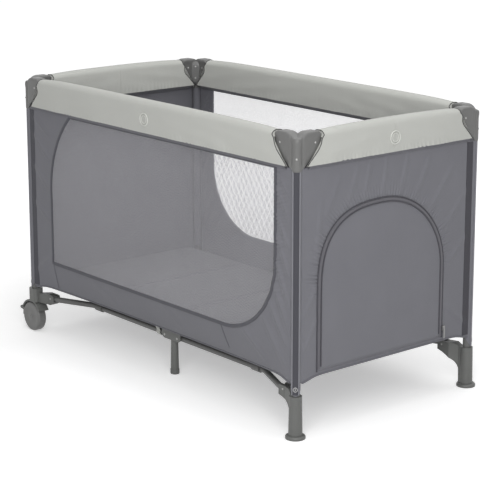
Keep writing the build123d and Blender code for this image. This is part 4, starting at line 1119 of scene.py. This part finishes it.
# Mattress: a thin folding board pad in grey cloth, four padded panels with sewn fold lines between them and a
# corded edge all round.
mattress_cloth = cloth_finish("mattress_cloth", (108, 108, 112), (97, 97, 101), 4200.0, 0.0022)
PAD_X = 0.5535
PAD_Y = 0.2485
PAD_LOW = 0.1545
PAD_FLAT = 0.1734
PAD_SEAM = PAD_LOW + 0.009
PAD_ROUND = 0.010
PAD_SWELL = 0.0016
CHANNEL_DEPTH = 0.0062
CHANNEL_HALF = 0.006
CORDING_R = 0.0022
p = np.linspace(-1, 1, 181)
q = np.linspace(-1, 1, 81)
edge_p = np.sign(p) * (1 - (1 - np.abs(p)) ** 1.35)
edge_q = np.sign(q) * (1 - (1 - np.abs(q)) ** 1.35)
x, y = np.meshgrid(PAD_X * edge_p, PAD_Y * edge_q, indexing="ij")
to_edge = np.minimum(PAD_X - np.abs(x), PAD_Y - np.abs(y))
rim = np.clip(to_edge / PAD_ROUND, 0, 1)
rim = np.sqrt(np.clip(1 - (1 - rim) ** 2, 0, 1))
panel = PAD_X / 2
seam = np.minimum(np.abs(x), np.minimum(np.abs(x - panel), np.abs(x + panel)))
channel = np.exp(-((seam / CHANNEL_HALF) ** 2))
from_middle = np.abs((x % panel) / panel - 0.5)
swell = PAD_SWELL * np.cos(np.pi * from_middle) * np.cos(np.pi / 2 * y / PAD_Y)
top = PAD_SEAM + rim * (PAD_FLAT - PAD_SEAM - CHANNEL_DEPTH * channel + swell * (1 - channel))
bottom = PAD_SEAM - rim * (PAD_SEAM - PAD_LOW)
parts = [surface("top", np.stack([x, y, top], -1)), surface("bottom", np.stack([x, y, bottom], -1))]
mattress = solid(joined("mattress_pad", parts), 70)
fit(mattress, "mattress", mattress_cloth, "mattress_cloth", "mattress")
loop = dense([(-PAD_X, -PAD_Y), (PAD_X, -PAD_Y), (PAD_X, PAD_Y), (-PAD_X, PAD_Y)], 0.008)
loop = np.concatenate([loop, np.full((len(loop), 1), PAD_SEAM)], 1)
cording = carried("mattress_cording", loop, round_profile(CORDING_R), (0, 0, 1), True)
fit(cording, "mattress", piping_cloth, "mattress_cloth")
for piece in (mattress, cording):
    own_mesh(piece)


# Floor frame fittings: middle brackets with their legs, fixed feet, castor brackets and brake levers keep
# their own solids in one grey plastic. The castor wheels get rounded treads and shallow dished faces.
base_plastic = hard_finish("base_plastic", (105, 106, 104), (94, 95, 93), 0.44)
wheel_plastic = hard_finish("wheel_plastic", (118, 118, 117), (106, 106, 105), 0.40, 0.0, 700.0)
refinish(base_plastic, "mid_leg_", "foot_", "castor_bracket_", "brake_lever_")
WHEEL_R = 0.043
WHEEL_HALF = 0.0135
WHEEL_U = -0.010
TREAD_ROUND = 0.0055
HUB_R = 0.0052
HUB_PROUD = 0.0012


def wheel_section():
    """Radius and depth of a wheel from one hub to the other: flat hub, shallow dished face, rounded tread."""
    turn = np.linspace(0, np.pi / 2, 9)
    r = np.concatenate([[0.0005, HUB_R, HUB_R + 0.0006], np.linspace(0.008, 0.031, 10), [0.0320, 0.0335]])
    dish = 0.0012 * np.sin(np.pi * np.clip((r - 0.006) / 0.026, 0, 1))
    depth = WHEEL_HALF - 0.0004 - dish
    depth[:2] = WHEEL_HALF + HUB_PROUD
    r = np.concatenate([r, WHEEL_R - TREAD_ROUND * (1 - np.sin(turn))])
    depth = np.concatenate([depth, WHEEL_HALF - TREAD_ROUND * (1 - np.cos(turn))])
    return np.concatenate([r, r[::-1]]), np.concatenate([depth, -depth[::-1]])


for corner in ("front_left", "back_left"):
    r, depth = wheel_section()
    turn = full_turn(72)[:, None]
    spun = (WHEEL_U + r * np.cos(turn), -depth, WHEEL_R + r * np.sin(turn))
    local = np.stack(np.broadcast_arrays(*spun), -1)
    tread = solid(surface(f"castor_tyre_{corner}", at_corner(local, corner), round_rows=True), 30)
    fit(tread, f"castor_wheel_{corner}", wheel_plastic, "wheel_plastic", f"castor_wheel_{corner}")


# Snap fasteners, middle rivets and webbing: a press stud closes each sleeve over its foot, steel heads hold
# the bars in the middle brackets, and a loop of pale webbing ties the hem to the floor frame.
snap_metal = hard_finish("snap_metal", (172, 172, 172), (144, 144, 144), 0.36, 0.5, 500.0, 0.00004)
SNAP_R = 0.0052
SNAP_WIRE = 0.0011
SNAP_LIFT = 0.018
STUD_HEAD = {"radius": 0.0028, "height": 0.0014}
MID_FACE = 0.0135
MID_PIVOT = 0.028
MID_HEAD = {"radius": 0.0034, "height": 0.0008}
STRAP_X = -0.0600
STRAP_BEND = 0.0104
STRAP_HALF = 0.0080
STRAP_HALF_T = 0.0006
for corner, (sx, sy) in CORNERS.items():
    out = np.array([sx, sy, 0.0]) / np.sqrt(2)
    spot = np.array([sx * POST_X, sy * POST_Y, SLEEVE_FOOT[sx] + SNAP_LIFT]) + out * (SLEEVE_R - 0.0002)
    circle = spot + out * 0.0006 + SNAP_R * around(out, 28)
    ring = carried("ring", circle, round_profile(SNAP_WIRE), out, True)
    stud = dome("stud", spot, out, **STUD_HEAD)
    snap = joined(f"press_stud_{corner}", [ring, stud])
    fit(snap, f"corner_{corner}", snap_metal, "rivet_steel")

for side_name, sy in (("front", -1), ("back", 1)):
    heads = []
    for x in (-MID_PIVOT, MID_PIVOT):
        for face in (-1, 1):
            spot = (x, sy * (BAR_Y + face * MID_FACE), BAR_PIVOT[2])
            heads.append(dome("head", spot, (0, sy * face, 0), **MID_HEAD))
    rivets = joined(f"mid_rivets_{side_name}", heads)
    fit(rivets, f"mid_leg_{side_name}", steel, "rivet_steel")

strap_webbing = cloth_finish("strap_webbing", (196, 197, 192), (176, 177, 172), 3800.0, 0.0005)
for side_name, sy in (("front", -1), ("back", 1)):
    turn = np.linspace(-0.15 * np.pi, 1.15 * np.pi, 28)
    y = np.concatenate([[0.0255, 0.0190, 0.0115], STRAP_BEND * np.cos(turn), [-0.0085, 0.0030, 0.0215]])
    z = np.concatenate([[0.0440, 0.0270, 0.0100], -STRAP_BEND * np.sin(turn), [0.0100, 0.0270, 0.0430]])
    path = np.stack([np.full_like(y, STRAP_X), sy * (BAR_Y + y), BAR_PIVOT[2] + z], -1)
    band = np.array([(-1, -1), (-1, 1), (1, 1), (1, -1)]) * (STRAP_HALF_T, STRAP_HALF)
    strap = carried(f"hem_strap_{side_name}", path, band, (1, 0, 0))
    fit(strap, f"floor_bar_{side_name}_left", strap_webbing, "rim_cloth")


# The room: a pale floor that keeps the pen's shadow, soft light from above and from the camera's side.
floor = made("floor", [(-60, -60, 0), (60, -60, 0), (60, 60, 0), (-60, 60, 0)], [[0, 1, 2, 3]])
floor_paint = bpy.data.materials.new("studio_floor")
floor_paint.use_nodes = True
tree = floor_paint.node_tree
paint = tree.nodes["Principled BSDF"]
dial(paint, {"Base Color": (0.9, 0.9, 0.9, 1), "Emission Color": (1, 1, 1, 1)})
dial(paint, {"Roughness": 0.9, "Specular IOR Level": 0.0})
rays = tree.nodes.new("ShaderNodeLightPath")
seen = sums(tree, "MAXIMUM", rays.outputs["Is Camera Ray"], rays.outputs["Is Glossy Ray"])
floor_place = tree.nodes.new("ShaderNodeTexCoord")
floor_reach = tree.nodes.new("ShaderNodeVectorMath")
floor_reach.operation = "LENGTH"
tree.links.new(floor_place.outputs["Object"], floor_reach.inputs[0])
floor_glow = tree.nodes.new("ShaderNodeMapRange")
floor_glow.interpolation_type = "SMOOTHSTEP"
dial(floor_glow, {"From Min": 0.7, "From Max": 2.6, "To Min": 0.40, "To Max": 0.80})
tree.links.new(floor_reach.outputs["Value"], floor_glow.inputs["Value"])
glow = sums(tree, "MULTIPLY", seen, floor_glow.outputs["Result"])
tree.links.new(glow, paint.inputs["Emission Strength"])
floor.data.materials.append(floor_paint)

world = bpy.data.worlds.new("studio")
bpy.context.scene.world = world
world.use_nodes = True
tree = world.node_tree
sky = tree.nodes["Background"]
dial(sky, {"Color": (1, 1, 1, 1)})
rays = tree.nodes.new("ShaderNodeLightPath")
shown = sums(tree, "MAXIMUM", rays.outputs["Is Camera Ray"], rays.outputs["Is Glossy Ray"])
shown = sums(tree, "MAXIMUM", shown, rays.outputs["Is Transmission Ray"])
tree.links.new(sums(tree, "ADD", sums(tree, "MULTIPLY", shown, 0.76), 0.24), sky.inputs["Strength"])


def softbox(name, place, target, size, power):
    """A square area lamp aimed at a point."""
    lamp = bpy.data.lights.new(name, "AREA")
    lamp.size = size
    lamp.energy = power
    holder = bpy.data.objects.new(name, lamp)
    aim = np.asarray(target, float) - np.asarray(place, float)
    holder.location = place
    holder.rotation_euler = Vector(aim).to_track_quat("-Z", "Y").to_euler()
    bpy.context.scene.collection.objects.link(holder)
    return holder


for name, place, size, power in (
    ("key", (2.7, -2.3, 1.9), 2.4, 74),
    ("fill", (-1.0, -3.6, 1.6), 2.6, 2),
    ("top", (0.3, 0.3, 3.4), 4.0, 70),
):
    softbox(name, place, (0, 0, 0.4), size, power)

azimuth, elevation = np.radians(50.06), np.radians(12.47)
camera = bpy.data.cameras.new("camera")
camera.sensor_width = 36.0
camera.lens = 120.05
camera.shift_y = -0.12
eye = bpy.data.objects.new("camera", camera)
eye.location = (3.4735, -2.8729, 1.4788)
look = (-np.sin(azimuth) * np.cos(elevation), np.cos(azimuth) * np.cos(elevation), -np.sin(elevation))
eye.rotation_euler = Vector(look).to_track_quat("-Z", "Y").to_euler()
bpy.context.scene.collection.objects.link(eye)
bpy.context.scene.camera = eye
bpy.context.scene.view_settings.view_transform = "Standard"
